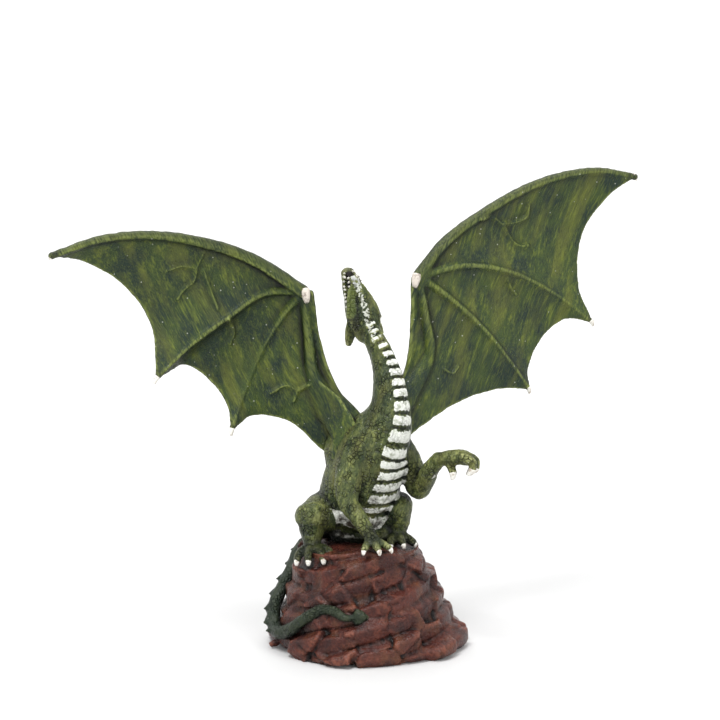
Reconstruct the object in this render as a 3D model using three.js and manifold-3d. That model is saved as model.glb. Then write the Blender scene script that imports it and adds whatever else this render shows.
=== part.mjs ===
// A painted dragon figurine. The dragon sits upright on a layered red-brown rock with its head thrown
// back, one forepaw planted and one raised, its tail wound round the rock, and both wings spread.
// Four pieces: the rock, the dragon, and two wings set against its shoulders.
// Millimetres, +Z up, origin at the centre of the rock's flat underside. The viewer stands at -Y.
import * as THREE from "three";
import { mergeVertices } from "three/addons/utils/BufferGeometryUtils.js";
import Module from "manifold-3d";

const wasm = await Module();
wasm.setup();

// Driving dimensions of the rock
const ROCK_WIDTH = 73.5; // across the foot, along X
const ROCK_DEPTH = 71; // across the foot, along Y
const ROCK_HEIGHT = 36; // table to the seat
const ROCK_TOP_WIDTH = 41.5; // across the seat
const ROCK_LEAN = 2.6; // how far the seat sits to the viewer's left of the foot
const ROCK_LAYERS = 5; // beds of stone between table and seat
const BED_SLOPE = 0.24; // how steeply the beds rise to the viewer's right
const BLOCK_RISE = 0.1; // how far blocks stand out of their bed, as a share of the radius
const BLOCKS_PER_BED = 7;
const ROCK_SEED = 151.7; // picks which blocks stand out
const BEVEL_HEIGHT = 2.2; // undercut foot of the rock

// Driving dimensions of the dragon and its wings
const FIGURE_HEIGHT = 99.5; // rock seat to the tip of the snout
const MEMBRANE_THICKNESS = 1.5; // wing skin, between the bones
const WING_BONE = 1.75; // radius of a wing finger at the wrist
const WING_EDGE_BONE = 2.3; // radius of the leading finger at the wrist
const SEAM = 0.3; // gap left between pieces that touch
const PLATE_RISE = 0.55; // step between one belly plate and the next
const PLATE_COUNT = 20; // belly plates from the groin to the throat
const CLAW_LENGTH = 2.1;

// The pose was drawn for a figure this tall, so every point and thickness of it is a share of that.
const POSE_HEIGHT = 99.5;
const share = FIGURE_HEIGHT / POSE_HEIGHT;
const posed = (x, y, z) => new THREE.Vector3(x * share, y * share, ROCK_HEIGHT + z * share);

const TORSO_TURN = 36; // degrees the chest faces to the viewer's right
const HEAD_TURN = 18;
const facing = (degrees) => {
  const a = THREE.MathUtils.degToRad(degrees);
  return new THREE.Vector3(Math.sin(a), -Math.cos(a), 0);
};

// A closed mesh as a solid for cutting and joining
function solidOf(geometry) {
  const bare = geometry.clone();
  for (const name of ["normal", "uv"]) bare.deleteAttribute(name);
  const merged = mergeVertices(bare, 1e-4);
  const made = new wasm.Manifold(
    new wasm.Mesh({
      numProp: 3,
      vertProperties: merged.attributes.position.array,
      triVerts: new Uint32Array(merged.index.array),
    }),
  );
  return made;
}

const join = (solids) => solids.reduce((all, one) => all.add(one));

// Joins rings of points, listed from one end to the other, into one closed skin with a point at each end.
function skin(rings, firstPole, lastPole) {
  const sides = rings[0].length;
  const points = [firstPole, ...rings.flat(), lastPole];
  const last = points.length - 1;
  const faces = [];
  for (let i = 0; i < sides; i++) {
    const j = (i + 1) % sides;
    faces.push(0, 1 + j, 1 + i);
    for (let r = 0; r + 1 < rings.length; r++) {
      const a = 1 + r * sides;
      const b = a + sides;
      faces.push(a + i, a + j, b + j, a + i, b + j, b + i);
    }
    faces.push(last - sides + i, last - sides + j, last);
  }
  const geometry = new THREE.BufferGeometry().setFromPoints(points);
  geometry.setIndex(faces);
  return solidOf(geometry);
}

// Values given at each station, read at a share t of the way along with smooth steps between them
function along(values, t) {
  const p = t * (values.length - 1);
  const i = Math.min(Math.floor(p), values.length - 2);
  const [a, b, c, d] = [i - 1, i, i + 1, i + 2].map(
    (k) => values[THREE.MathUtils.clamp(k, 0, values.length - 1)],
  );
  const f = p - i;
  return (
    b +
    0.5 * f * (c - a + f * (2 * a - 5 * b + 4 * c - d + f * (3 * (b - c) + d - a)))
  );
}

// A limb: oval sections along a smooth curve. Each station is [point, half width, half depth].
// front is the direction that the depth is measured in, or a function of the share along the limb.
// rise, if given, lifts the skin at a share along and an angle from the front.
function limb(stations, front, { sides = 10, steps = 8, grow = 0, rise } = {}) {
  const curve = new THREE.CatmullRomCurve3(stations.map((s) => s[0]));
  const wide = stations.map((s) => s[1] * share + grow);
  const deep = stations.map((s) => s[2] * share + grow);
  const section = (t) => {
    const centre = curve.getPoint(t);
    const tangent = curve.getTangent(t);
    const ahead = typeof front === "function" ? front(t) : front;
    const side = new THREE.Vector3().crossVectors(tangent, ahead).normalize();
    const face = new THREE.Vector3().crossVectors(side, tangent).normalize();
    return { centre, tangent, side, face, w: along(wide, t), d: along(deep, t) };
  };
  const ring = (s, t, scale, push) => {
    const points = [];
    for (let i = 0; i < sides; i++) {
      const a = (2 * Math.PI * i) / sides;
      const lift = rise ? rise(t, a) : 0;
      points.push(
        s.centre
          .clone()
          .addScaledVector(s.tangent, push)
          .addScaledVector(s.face, Math.cos(a) * (s.d * scale + lift))
          .addScaledVector(s.side, Math.sin(a) * (s.w * scale + lift)),
      );
    }
    return points;
  };
  const first = section(0);
  const final = section(1);
  const nose = (s) => Math.min(s.w, s.d);
  const CAP = 0.72; // a cap's ring, as a share of the section it closes
  const CAP_PUSH = Math.sqrt(1 - CAP * CAP);
  const rings = [ring(first, 0, CAP, -nose(first) * CAP_PUSH)];
  for (let k = 0; k <= steps; k++) {
    const t = k / steps;
    rings.push(ring(section(t), t, 1, 0));
  }
  rings.push(ring(final, 1, CAP, nose(final) * CAP_PUSH));
  return skin(
    rings,
    first.centre.clone().addScaledVector(first.tangent, -nose(first)),
    final.centre.clone().addScaledVector(final.tangent, nose(final)),
  );
}

// A horn, claw or spine: a blunt ring at the root, a bowed ring half way, and a point
function horn(root, tip, width, depth, front, grow = 0, sides = 5) {
  const axis = tip.clone().sub(root);
  const length = axis.length();
  const side = new THREE.Vector3().crossVectors(axis, front).normalize();
  const face = new THREE.Vector3().crossVectors(side, axis).normalize();
  const ring = (t, scale, bow) =>
    Array.from({ length: sides }, (_, i) => {
      const a = (2 * Math.PI * i) / sides;
      return root
        .clone()
        .addScaledVector(axis, t)
        .addScaledVector(face, bow + Math.cos(a) * (depth * share * scale + grow))
        .addScaledVector(side, Math.sin(a) * (width * share * scale + grow));
    });
  const rings = [ring(0, 1, 0), ring(0.55, 0.62, length * 0.08)];
  return skin(rings, root.clone().addScaledVector(axis, -0.15), tip.clone().addScaledVector(axis, grow / length));
}

// The rock. Its skin is a lathe profile whose points are then pushed about. A share of the height gives
// the bed of stone, the angle gives the block in that bed, and each block stands out by its own chance.
const taper = ROCK_TOP_WIDTH / ROCK_WIDTH;

// A repeatable chance from 0 to 1 for a block of a bed
function chance(bed, block) {
  const n = Math.sin(bed * 12.9898 + block * 78.233 + ROCK_SEED) * 43758.5453;
  return n - Math.floor(n);
}

// How far the blocks of one bed stand out at an angle, as a share of the radius
function blocks(angle, bed) {
  const run = (angle / (2 * Math.PI)) * BLOCKS_PER_BED + chance(bed, 50);
  const block = Math.floor(run);
  const f = run - block;
  const number = (k) => ((k % BLOCKS_PER_BED) + BLOCKS_PER_BED) % BLOCKS_PER_BED;
  const out = (k) => chance(bed, number(k)) - 0.5;
  const tilt = (k) => chance(bed + 31, number(k)) - 0.5;
  const EDGE = 0.14; // share of a block that its slanting edge takes
  const own = THREE.MathUtils.smoothstep(f, 0, EDGE);
  return BLOCK_RISE * (THREE.MathUtils.lerp(out(block - 1), out(block), own) + 0.9 * tilt(block) * (f - 0.5) * own);
}

// A point of the rock's side at an angle in radians and a height share
function rockSide(angle, height) {
  const straight = 1 - (1 - taper) * height;
  const x = (ROCK_WIDTH / 2) * straight * Math.cos(angle);
  const run = height * ROCK_LAYERS - (BED_SLOPE * x * ROCK_LAYERS) / ROCK_HEIGHT;
  const bed = Math.floor(run);
  const ledge = THREE.MathUtils.smoothstep(run - bed, 0.7, 1);
  const stair = bed + ledge * 0.85 + (run - bed) * 0.15;
  const stone = THREE.MathUtils.lerp(blocks(angle, bed), blocks(angle, bed + 1), ledge);
  const r = (straight - ((1 - taper) * (stair - run + 0.3)) / ROCK_LAYERS) * (1 + stone);
  return new THREE.Vector3(
    (ROCK_WIDTH / 2) * r * Math.cos(angle) - ROCK_LEAN * height,
    (ROCK_DEPTH / 2) * r * Math.sin(angle),
    ROCK_HEIGHT * height,
  );
}

// The seat is uneven, and drops away at its two ends and at the back. across and deep are shares of
// the seat's half width and half depth.
const SEAT_DROP = 3.4;
const BOSS_RISE = 2; // a boss at the front of the seat, under the planted paw
function seatDrop(across, deep) {
  const boss = BOSS_RISE * Math.exp(-(((across - 0.15) / 0.4) ** 2) - ((deep + 0.8) / 0.35) ** 2);
  const ends = THREE.MathUtils.smoothstep(Math.abs(across), 0.45, 1);
  const back = THREE.MathUtils.smoothstep(deep, 0.2, 1);
  return SEAT_DROP * Math.max(ends, back) - boss + 0.2 * Math.sin(5 * across + 0.9) * Math.cos(4 * deep);
}

function rock() {
  const RINGS_PER_LAYER = 3;
  const SEGMENTS = 34;
  const profile = [new THREE.Vector2(0, 0), new THREE.Vector2(0.93, 0)];
  const rows = ROCK_LAYERS * RINGS_PER_LAYER;
  const foot = BEVEL_HEIGHT / ROCK_HEIGHT;
  for (let i = 0; i <= rows; i++) profile.push(new THREE.Vector2(1, foot + ((1 - foot) * i) / rows));
  for (const inset of [0.5, 0]) profile.push(new THREE.Vector2(inset, 1.0001));
  const geometry = new THREE.LatheGeometry(profile, SEGMENTS);
  geometry.rotateX(Math.PI / 2);
  const p = geometry.attributes.position;
  for (let i = 0; i < p.count; i++) {
    const angle = Math.atan2(p.getY(i), p.getX(i));
    const spread = Math.hypot(p.getX(i), p.getY(i));
    const height = Math.min(p.getZ(i), 1);
    const side = rockSide(angle, height);
    const middle = -ROCK_LEAN * height;
    const x = middle + (side.x - middle) * spread;
    const y = side.y * spread;
    const drop = seatDrop(Math.cos(angle) * spread, Math.sin(angle) * spread);
    const onTop = p.getZ(i) > 1 - 1e-6;
    const onBottom = p.getZ(i) < 1e-6;
    p.setXYZ(i, x, y, onBottom ? 0 : side.z - (onTop ? drop : 0));
  }
  return solidOf(geometry);
}

// Torso, neck and the belly plates that climb them. Stations run from the tail root to the throat.
const SPINE = [
  [posed(-11, 17, 7), 7.5, 7],
  [posed(-5.5, 8.8, 11.6), 12.9, 12.2],
  [posed(-2.4, 5.4, 20), 14, 13.6],
  [posed(0.6, 2.6, 28.5), 14, 13.5],
  [posed(3.2, 0, 36.5), 12.8, 12.8],
  [posed(6, -2, 44.5), 10.3, 10.5],
  [posed(7.8, -2.5, 51.5), 7.3, 8],
  [posed(8, -1.5, 58), 5.7, 6.4],
  [posed(6.9, 0.3, 64), 4.7, 5.3],
  [posed(5, 2.2, 69.5), 4.1, 4.6],
  [posed(2.2, 3.8, 75), 3.9, 4.2],
  [posed(0, 4.6, 79.5), 3.8, 3.6],
];
const spineFront = (t) => {
  const turned = THREE.MathUtils.smoothstep(t, 0.62, 1);
  return facing(THREE.MathUtils.lerp(TORSO_TURN, HEAD_TURN, turned));
};
const PLATES_FROM = 0.1;
const PLATE_SPREAD = 0.72; // half angle of the plates, in radians

function plateRise(t, angle) {
  const off = Math.min(angle, 2 * Math.PI - angle);
  if (t < PLATES_FROM || off > PLATE_SPREAD) return 0;
  const along = ((t - PLATES_FROM) / (1 - PLATES_FROM)) * PLATE_COUNT;
  return PLATE_RISE * (1 - (along - Math.floor(along))) * Math.cos((off / PLATE_SPREAD) * (Math.PI / 2));
}

const torso = (grow) =>
  limb(SPINE, spineFront, { sides: 12, steps: PLATE_COUNT * 2, grow, rise: plateRise });

// The head, in a frame of its own: along is to the snout, under is to the chin, right is its own right
const HEAD_ROOT = posed(0.8, 4.4, 75);
const head = { along: new THREE.Vector3(-0.295, 0.079, 0.952).normalize() };
head.under = facing(HEAD_TURN);
head.under.addScaledVector(head.along, -head.under.dot(head.along)).normalize();
head.right = new THREE.Vector3().crossVectors(head.under, head.along);
const headAt = (a, u, r) =>
  HEAD_ROOT.clone()
    .addScaledVector(head.along, a * share)
    .addScaledVector(head.under, u * share)
    .addScaledVector(head.right, r * share);

function headParts(grow) {
  const skull = limb(
    [
      [headAt(1, -1, 0), 4.4, 3.8],
      [headAt(5.5, -1.6, 0), 5.5, 4.2],
      [headAt(9.5, -1.9, 0), 5.5, 3.8],
      [headAt(14.5, -2, 0), 4.5, 2.9],
      [headAt(20, -2.1, 0), 3.5, 1.9],
      [headAt(24, -2.2, 0), 2.6, 1.7],
    ],
    head.under,
    { sides: 9, steps: 7, grow },
  );
  const jaw = limb(
    [
      [headAt(3, 1.6, 0), 3.4, 2.2],
      [headAt(8.5, 2.6, 0), 3.8, 1.9],
      [headAt(14, 3.1, 0), 3, 1.4],
      [headAt(18.5, 3.5, 0), 2.3, 1.2],
      [headAt(21.5, 3.7, 0), 1.7, 1],
    ],
    head.under,
    { sides: 8, steps: 5, grow },
  );
  const parts = [skull, jaw];
  parts.push(horn(headAt(23.5, -2.8, 0), headAt(25.6, -5.4, 0), 0.9, 1, head.under, grow));
  for (const side of [-1, 1]) {
    const crest = headAt(6, -3.2, side * 3.6);
    parts.push(horn(crest, headAt(-1.4, -5.8, side * 6.9), 2.1, 1.6, head.under, grow, 6));
    parts.push(horn(headAt(9, 0.4, side * 3.8), headAt(4, 0.4, side * 7.4), 2, 0.9, head.under, grow));
    parts.push(
      limb(
        [
          [headAt(8.5, -3.6, side * 3), 0.9, 0.9],
          [headAt(11.5, -4, side * 3.1), 1.1, 0.9],
          [headAt(14.5, -3.4, side * 2.4), 0.7, 0.7],
        ],
        head.under,
        { sides: 6, steps: 3, grow },
      ),
    );
  }
  return parts;
}

// A foot or paw: toes fan out from the ankle, each with its claw. Each toe is [knuckle, end].
function toes(ankle, list, radius, grow) {
  return list.flatMap(([knuckle, end]) => {
    const upward = new THREE.Vector3(0, 0, 1);
    const reach = end.clone().sub(knuckle).normalize();
    const point = end.clone().addScaledVector(reach, CLAW_LENGTH).addScaledVector(upward, -CLAW_LENGTH * 0.4);
    return [
      limb(
        [
          [ankle, radius * 1.25, radius * 1.1],
          [knuckle, radius * 1.05, radius * 1.05],
          [end, radius * 0.85, radius * 0.85],
        ],
        upward,
        { sides: 5, steps: 3, grow },
      ),
      horn(end, point, radius * 0.62, radius * 0.62, upward, grow),
    ];
  });
}

function hindLegs(grow) {
  const leg = (hip, knee, shin, ankle) => [
    limb([[hip, 8.2, 8.2], [hip.clone().lerp(knee, 0.5), 7.4, 8.2], [knee, 5.2, 6]], facing(TORSO_TURN), {
      sides: 9,
      steps: 4,
      grow,
    }),
    limb([[knee, 4.8, 5], [shin, 4.4, 4.6], [ankle, 3, 2.7]], facing(TORSO_TURN), {
      sides: 8,
      steps: 4,
      grow,
    }),
  ];
  const rightAnkle = posed(-19.4, -6, 0.2);
  const leftAnkle = posed(11.4, 4.5, 1.8);
  return [
    ...leg(posed(-11.5, 8, 10.5), posed(-20, -4.5, 11), posed(-19.6, -4, 5.6), rightAnkle),
    ...toes(
      rightAnkle,
      [
        [posed(-23.6, -9.5, -1.1), posed(-24.6, -12.2, -3)],
        [posed(-20.6, -11.6, -0.6), posed(-20.6, -14.8, -2.4)],
        [posed(-16.6, -11.6, -0.4), posed(-15.4, -15, -2)],
        [posed(-14.6, -8.8, 0), posed(-12, -11.6, -1.6)],
      ],
      1.7,
      grow,
    ),
    ...leg(posed(4, 11.5, 8.5), posed(11.6, 4.6, 12.4), posed(11.3, 5.2, 6.8), leftAnkle),
    ...toes(
      leftAnkle,
      [
        [posed(9, -0.6, 1.6), posed(8.8, -3.8, 0.6)],
        [posed(12.2, 0, 1.6), posed(13.2, -3, 0.5)],
        [posed(14.8, 2.4, 1.3), posed(17.2, 0.6, 0)],
      ],
      1.6,
      grow,
    ),
  ];
}

function plantedArm(grow) {
  const wrist = posed(1.8, -18.6, 6.4);
  return [
    limb(
      [
        [posed(-3.6, -4, 33.5), 6.6, 6],
        [posed(-6.4, -9, 25), 5.2, 5],
        [posed(-6.6, -12, 18), 3.7, 3.8],
        [posed(-2, -15.6, 12), 3, 3],
        [wrist, 2.4, 2.3],
      ],
      facing(TORSO_TURN),
      { sides: 8, steps: 7, grow },
    ),
    ...toes(
      wrist,
      [
        [posed(0, -20.8, 4.6), posed(-0.8, -22.6, 3.4)],
        [posed(3.2, -21.2, 4.6), posed(4.2, -23.2, 3.4)],
        [posed(5.4, -19.8, 4.8), posed(8, -21.4, 3.6)],
      ],
      1.45,
      grow,
    ),
  ];
}

function raisedArm(grow) {
  const wrist = posed(25.6, -9.4, 33);
  const palm = posed(32.5, -14.6, 34.8);
  const down = new THREE.Vector3(0, 0, 1);
  const finger = (knuckle, middle, end, tip) => [
    limb([[knuckle, 1.8, 1.8], [middle, 1.7, 1.7], [end, 1.4, 1.4]], facing(70), { sides: 5, steps: 3, grow }),
    horn(end, tip, 1.1, 1.1, facing(70), grow),
  ];
  return [
    limb(
      [
        [posed(11, 2.6, 35.5), 5.4, 5.6],
        [posed(15.6, 2.6, 28), 4.8, 5],
        [posed(18.6, 1.4, 19.6), 3.7, 3.8],
        [posed(20.8, -2.6, 23.4), 3.6, 3.6],
        [posed(22.8, -6.6, 28.6), 3.2, 3],
        [wrist, 2.8, 2.5],
      ],
      facing(-50),
      { sides: 8, steps: 9, grow },
    ),
    limb([[wrist, 2.8, 2.5], [palm, 3.5, 2.8], [posed(36, -17, 34.6), 3.4, 2.4]], down, {
      sides: 8,
      steps: 4,
      grow,
    }),
    ...finger(posed(28.2, -12.4, 34.4), posed(29.6, -14, 31.4), posed(30.4, -14.6, 29.4), posed(31, -15, 26.6)),
    ...finger(posed(34, -19, 35.4), posed(36.8, -20.4, 34), posed(37.2, -20.8, 31.8), posed(36.2, -20.6, 29)),
    ...finger(posed(35.8, -16.8, 35.4), posed(38.2, -17.2, 33.8), posed(38.4, -17.4, 31.6), posed(37.4, -17.4, 29)),
    ...finger(posed(35.4, -14.6, 34.6), posed(37.4, -14, 32.4), posed(37.2, -14, 30.4), posed(36, -14.4, 27.8)),
  ];
}

// The tail leaves the rump, goes over the back edge of the seat and then lies on the rock's side.
// Each resting station is [angle round the rock in degrees, height share, radius].
const TAIL_ON_ROCK = [
  [130, 0.93, 4.2],
  [147, 0.83, 3.3],
  [161, 0.67, 2.7],
  [172, 0.49, 2.4],
  [183, 0.32, 2.4],
  [193, 0.19, 2.6],
  [205, 0.18, 2.5],
  [217, 0.25, 2.4],
  [229, 0.39, 2.1],
  [240, 0.49, 2],
  [250, 0.5, 1.8],
  [258, 0.45, 1.4],
  [263, 0.45, 1.2],
];
const TAIL_SINK = 0.35; // share of its radius that the tail is let into the rock

function tailStations() {
  const lying = TAIL_ON_ROCK.map(([degrees, height, radius]) => {
    const angle = THREE.MathUtils.degToRad(degrees);
    const point = rockSide(angle, height);
    const out = new THREE.Vector3(Math.cos(angle), Math.sin(angle), 0.25).normalize();
    return [point.addScaledVector(out, radius * share * (1 - TAIL_SINK)), radius, radius];
  });
  return [[posed(-8, 13, 9.5), 7, 6.6], [posed(-11.5, 18.5, 5), 5.4, 5.2], ...lying];
}

function tail(grow) {
  const stations = tailStations();
  const upward = new THREE.Vector3(0.01, 0, 1);
  const parts = [limb(stations, upward, { sides: 6, steps: 28, grow })];
  const curve = new THREE.CatmullRomCurve3(stations.map((s) => s[0]));
  const FINS = 6;
  for (let i = 0; i < FINS; i++) {
    const t = 0.16 + (0.36 * i) / (FINS - 1);
    const root = curve.getPoint(t);
    const back = curve.getTangent(t);
    const out = new THREE.Vector3(root.x, root.y, 0).normalize();
    const radius = along(stations.map((s) => s[1] * share), t);
    const base = root.clone().addScaledVector(out, radius * 0.6);
    const tip = root.clone().addScaledVector(out, radius + 1.3 * share).addScaledVector(back, 1.4 * share);
    parts.push(horn(base, tip, 0.7, 1.7, back, grow, 4));
  }
  const end = curve.getPoint(1);
  const reach = curve.getTangent(1);
  const spade = [0.4, 2.9, 2.2, 0.4].map((half, i) => [
    end.clone().addScaledVector(reach, (i * 2.1 - 1) * share),
    half,
    half * 0.42 + 0.2,
  ]);
  const off = new THREE.Vector3(end.x, end.y, 0).normalize();
  parts.push(limb(spade, off, { sides: 6, steps: 4, grow }));
  return parts;
}

// Spines along the back of the neck and torso
function backSpines(grow) {
  const curve = new THREE.CatmullRomCurve3(SPINE.map((s) => s[0]));
  const deep = SPINE.map((s) => s[2] * share);
  const SPINES = 10;
  return Array.from({ length: SPINES }, (_, i) => {
    const t = 0.06 + (0.9 * i) / (SPINES - 1);
    const back = spineFront(t).negate();
    const down = curve.getTangent(t).negate();
    const root = curve.getPoint(t).addScaledVector(back, along(deep, t) * 0.86);
    const tall = (2.6 - 1.1 * t) * share;
    const tip = curve
      .getPoint(t)
      .addScaledVector(back, along(deep, t) + tall)
      .addScaledVector(down, tall * 0.8);
    return horn(root, tip, 0.7, 1.9, down, grow, 4);
  });
}

// The humps that the wings grow from: [centre, radius]
const SHOULDERS = [
  [posed(-2.5, 4.5, 42.5), 6.4],
  [posed(9, 8, 42), 6],
];
const shoulders = (grow) =>
  SHOULDERS.map(([centre, radius]) => {
    const ball = new THREE.SphereGeometry(radius * share + grow, 10, 7);
    return solidOf(ball.translate(centre.x, centre.y, centre.z));
  });

const dragonParts = (grow) => [
  torso(grow),
  ...shoulders(grow),
  ...headParts(grow),
  ...hindLegs(grow),
  ...plantedArm(grow),
  ...raisedArm(grow),
  ...tail(grow),
  ...backSpines(grow),
];

// A wing is a fan of skin between four ribs that meet at the wrist: the leading finger, two more
// fingers, and the inner edge that runs down to the flank. Each rib runs from the wrist outwards, and
// each rim is the scalloped edge from one rib's end to the next.
const RIGHT_WING = {
  ribs: [
    [posed(-22.4, -4, 92.3), posed(-40.2, -10, 104.4), posed(-57.2, -18, 111), posed(-73.9, -26, 114.1),
      posed(-90, -34, 113.4), posed(-105.4, -40, 108.6)],
    [posed(-22.4, -4, 92.3), posed(-36, -6, 91.8), posed(-48.7, -13, 84.2), posed(-61.2, -19, 75.3),
      posed(-72.7, -25, 64.4)],
    [posed(-22.4, -4, 92.3), posed(-30.3, -2, 82.7), posed(-37.4, -3, 71.1), posed(-43.7, -6, 56.1),
      posed(-47.8, -10, 43.2)],
    [posed(-19.6, -3.4, 91.5), posed(-17.3, 1, 73.9), posed(-12.3, 3, 58.4), posed(-5, 3, 46),
      posed(-2, 5, 36), posed(-5, 6, 26)],
  ],
  rims: [
    [posed(-97.5, -34, 106.6), posed(-84, -26.5, 97.5), posed(-74.5, -21, 82.5)],
    [posed(-63.9, -17, 68), posed(-54.4, -11, 60.4), posed(-49, -9, 51.4)],
    [posed(-41, -5, 47.6), posed(-27.4, 1, 44.2), posed(-16.5, 5, 33.6)],
  ],
  arm: [posed(-3, 1, 41), posed(-11, 2.4, 50.5), posed(-18.6, 2, 60.4), posed(-20.6, -0.6, 76),
    posed(-22.2, -3.6, 91.6)],
  outward: -1,
};
const LEFT_WING = {
  ribs: [
    [posed(18.8, 12, 95.7), posed(28, 16, 107), posed(43.2, 24, 117.6), posed(64, 33, 127.6),
      posed(84.4, 40, 131.4), posed(99.8, 44, 129)],
    [posed(18.8, 12, 95.7), posed(35.1, 19, 98.7), posed(51.9, 27, 95.7), posed(69.2, 35, 86.7),
      posed(84.5, 41, 75)],
    [posed(18.8, 12, 95.7), posed(30.4, 17, 86.9), posed(42.7, 22, 75), posed(53, 26, 62),
      posed(60.4, 30, 51.4)],
    [posed(17, 11.4, 95), posed(16.7, 13, 78.4), posed(15.4, 12.6, 64), posed(11, 9.6, 50),
      posed(8, 8, 38), posed(6, 7.5, 30)],
  ],
  rims: [
    [posed(90.4, 42, 122.5), posed(80.4, 41, 108), posed(79, 40, 89)],
    [posed(74.5, 38, 76.5), posed(64.6, 34, 69.1), posed(59.8, 30.6, 58.2)],
    [posed(49.4, 26, 52), posed(34, 18.6, 48.4), posed(20.6, 12, 41)],
  ],
  arm: [posed(8, 7, 43), posed(15.4, 11.5, 54), posed(22.6, 15.4, 66.7), posed(21, 14, 82),
    posed(18.8, 12, 95)],
  outward: 1,
};
const BONE_TAPER = 0.45; // share of its thickness that a finger loses by its tip
const ARM_WIDTHS = [5, 4.4, 2.6, 1.9, 1.7]; // shoulder, upper arm, elbow, forearm, wrist
const ARM_DEPTHS = [2.6, 2.4, 2.1, 1.8, 1.7];
const FLAP_RADIUS = 1.1; // the thickened edge of the skin, from the wrist to the flank
const BILLOW = 3.2; // how far the skin sags back between two ribs, in the pose's millimetres

function wingSkin(wing) {
  const ribs = wing.ribs.map((points) => new THREE.CatmullRomCurve3(points));
  const ends = wing.ribs.map((points) => points[points.length - 1]);
  const rims = wing.rims.map(
    (points, i) => new THREE.CatmullRomCurve3([ends[i], ...points, ends[i + 1]]),
  );
  const ACROSS = 4;
  const OUT = 7;
  const START = 0.05; // the skin starts just outside the wrist
  const rows = [];
  for (let r = 0; r <= OUT; r++) {
    const u = START + ((1 - START) * r) / OUT;
    const row = [];
    rims.forEach((rim, i) => {
      for (let c = i ? 1 : 0; c <= ACROSS; c++) {
        const v = c / ACROSS;
        const chord = ends[i].clone().lerp(ends[i + 1], v);
        const point = ribs[i].getPoint(u).lerp(ribs[i + 1].getPoint(u), v);
        point.addScaledVector(rim.getPoint(v).sub(chord), u * u);
        point.y += BILLOW * share * Math.sin(Math.PI * v) * u * (1 - 0.5 * u);
        row.push(point);
      }
    });
    rows.push(row);
  }
  return sheet(rows, MEMBRANE_THICKNESS, wing.outward);
}

// A grid of points made into a closed sheet of an even thickness
function sheet(rows, thickness, outward) {
  const across = rows[0].length;
  const at = (r, c) =>
    rows[THREE.MathUtils.clamp(r, 0, rows.length - 1)][THREE.MathUtils.clamp(c, 0, across - 1)];
  const front = [];
  const back = [];
  rows.forEach((row, r) =>
    row.forEach((point, c) => {
      const down = at(r + 1, c).clone().sub(at(r - 1, c));
      const over = at(r, c + 1).clone().sub(at(r, c - 1));
      const normal = down.cross(over).normalize().multiplyScalar((-outward * thickness) / 2);
      front.push(point.clone().add(normal));
      back.push(point.clone().sub(normal));
    }),
  );
  const n = front.length;
  const faces = [];
  const quad = (a, b, c, d) => {
    if (outward < 0) faces.push(a, b, c, a, c, d);
    else faces.push(a, c, b, a, d, c);
  };
  const id = (r, c) => r * across + c;
  const last = rows.length - 1;
  for (let r = 0; r < last; r++)
    for (let c = 0; c + 1 < across; c++) {
      quad(id(r, c), id(r + 1, c), id(r + 1, c + 1), id(r, c + 1));
      quad(n + id(r, c), n + id(r, c + 1), n + id(r + 1, c + 1), n + id(r + 1, c));
    }
  for (let r = 0; r < last; r++) {
    quad(id(r, 0), n + id(r, 0), n + id(r + 1, 0), id(r + 1, 0));
    quad(id(r, across - 1), id(r + 1, across - 1), n + id(r + 1, across - 1), n + id(r, across - 1));
  }
  for (let c = 0; c + 1 < across; c++) {
    quad(id(0, c), id(0, c + 1), n + id(0, c + 1), n + id(0, c));
    quad(id(last, c), n + id(last, c), n + id(last, c + 1), id(last, c + 1));
  }
  const geometry = new THREE.BufferGeometry().setFromPoints([...front, ...back]);
  geometry.setIndex(faces);
  return solidOf(geometry);
}

function wingBones(wing) {
  const viewer = new THREE.Vector3(0, -1, 0);
  const [edge, second, third] = wing.ribs;
  const bone = (points, root, steps) => {
    const shrink = (i) => root * (1 - BONE_TAPER * (i / (points.length - 1)));
    return limb(points.map((p, i) => [p, shrink(i), shrink(i)]), viewer, { sides: 5, steps });
  };
  const tipClaw = (points) => {
    const [before, end] = points.slice(-2);
    const reach = end.clone().sub(before).normalize();
    const tip = end.clone().addScaledVector(reach, 1.6 * share);
    return horn(end, tip.add(new THREE.Vector3(0, 0, -0.6 * share)), 0.9, 0.9, viewer);
  };
  const wrist = edge[0];
  const thumbRoot = wrist.clone().add(new THREE.Vector3(-wing.outward * 0.6, -0.8, 0.4).multiplyScalar(share));
  const thumbTip = wrist.clone().add(new THREE.Vector3(-wing.outward * 1.9, -3.4, -3.4).multiplyScalar(share));
  return [
    bone(edge, WING_EDGE_BONE, 9),
    bone(second, WING_BONE, 6),
    bone(third, WING_BONE, 6),
    limb(wing.arm.map((p, i) => [p, ARM_WIDTHS[i], ARM_DEPTHS[i]]), viewer, { sides: 6, steps: 6 }),
    limb(wing.ribs[3].map((p) => [p, FLAP_RADIUS, FLAP_RADIUS]), viewer, { sides: 5, steps: 6 }),
    ...[edge, second, third].map(tipClaw),
    horn(thumbRoot, thumbTip, 1.7, 1.6, viewer, 0, 6),
  ];
}

const wing = (plan, body) => join([wingSkin(plan), ...wingBones(plan)]).subtract(body);

// Materials, as painted
const paint = (r, g, b, roughness) =>
  new THREE.MeshStandardMaterial({ color: new THREE.Color(r, g, b), roughness, metalness: 0 });
const GREEN = paint(0.12, 0.2, 0.07, 0.55);
const WING_GREEN = paint(0.14, 0.2, 0.07, 0.5);
const RED_BROWN = paint(0.25, 0.085, 0.055, 0.5);

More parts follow.
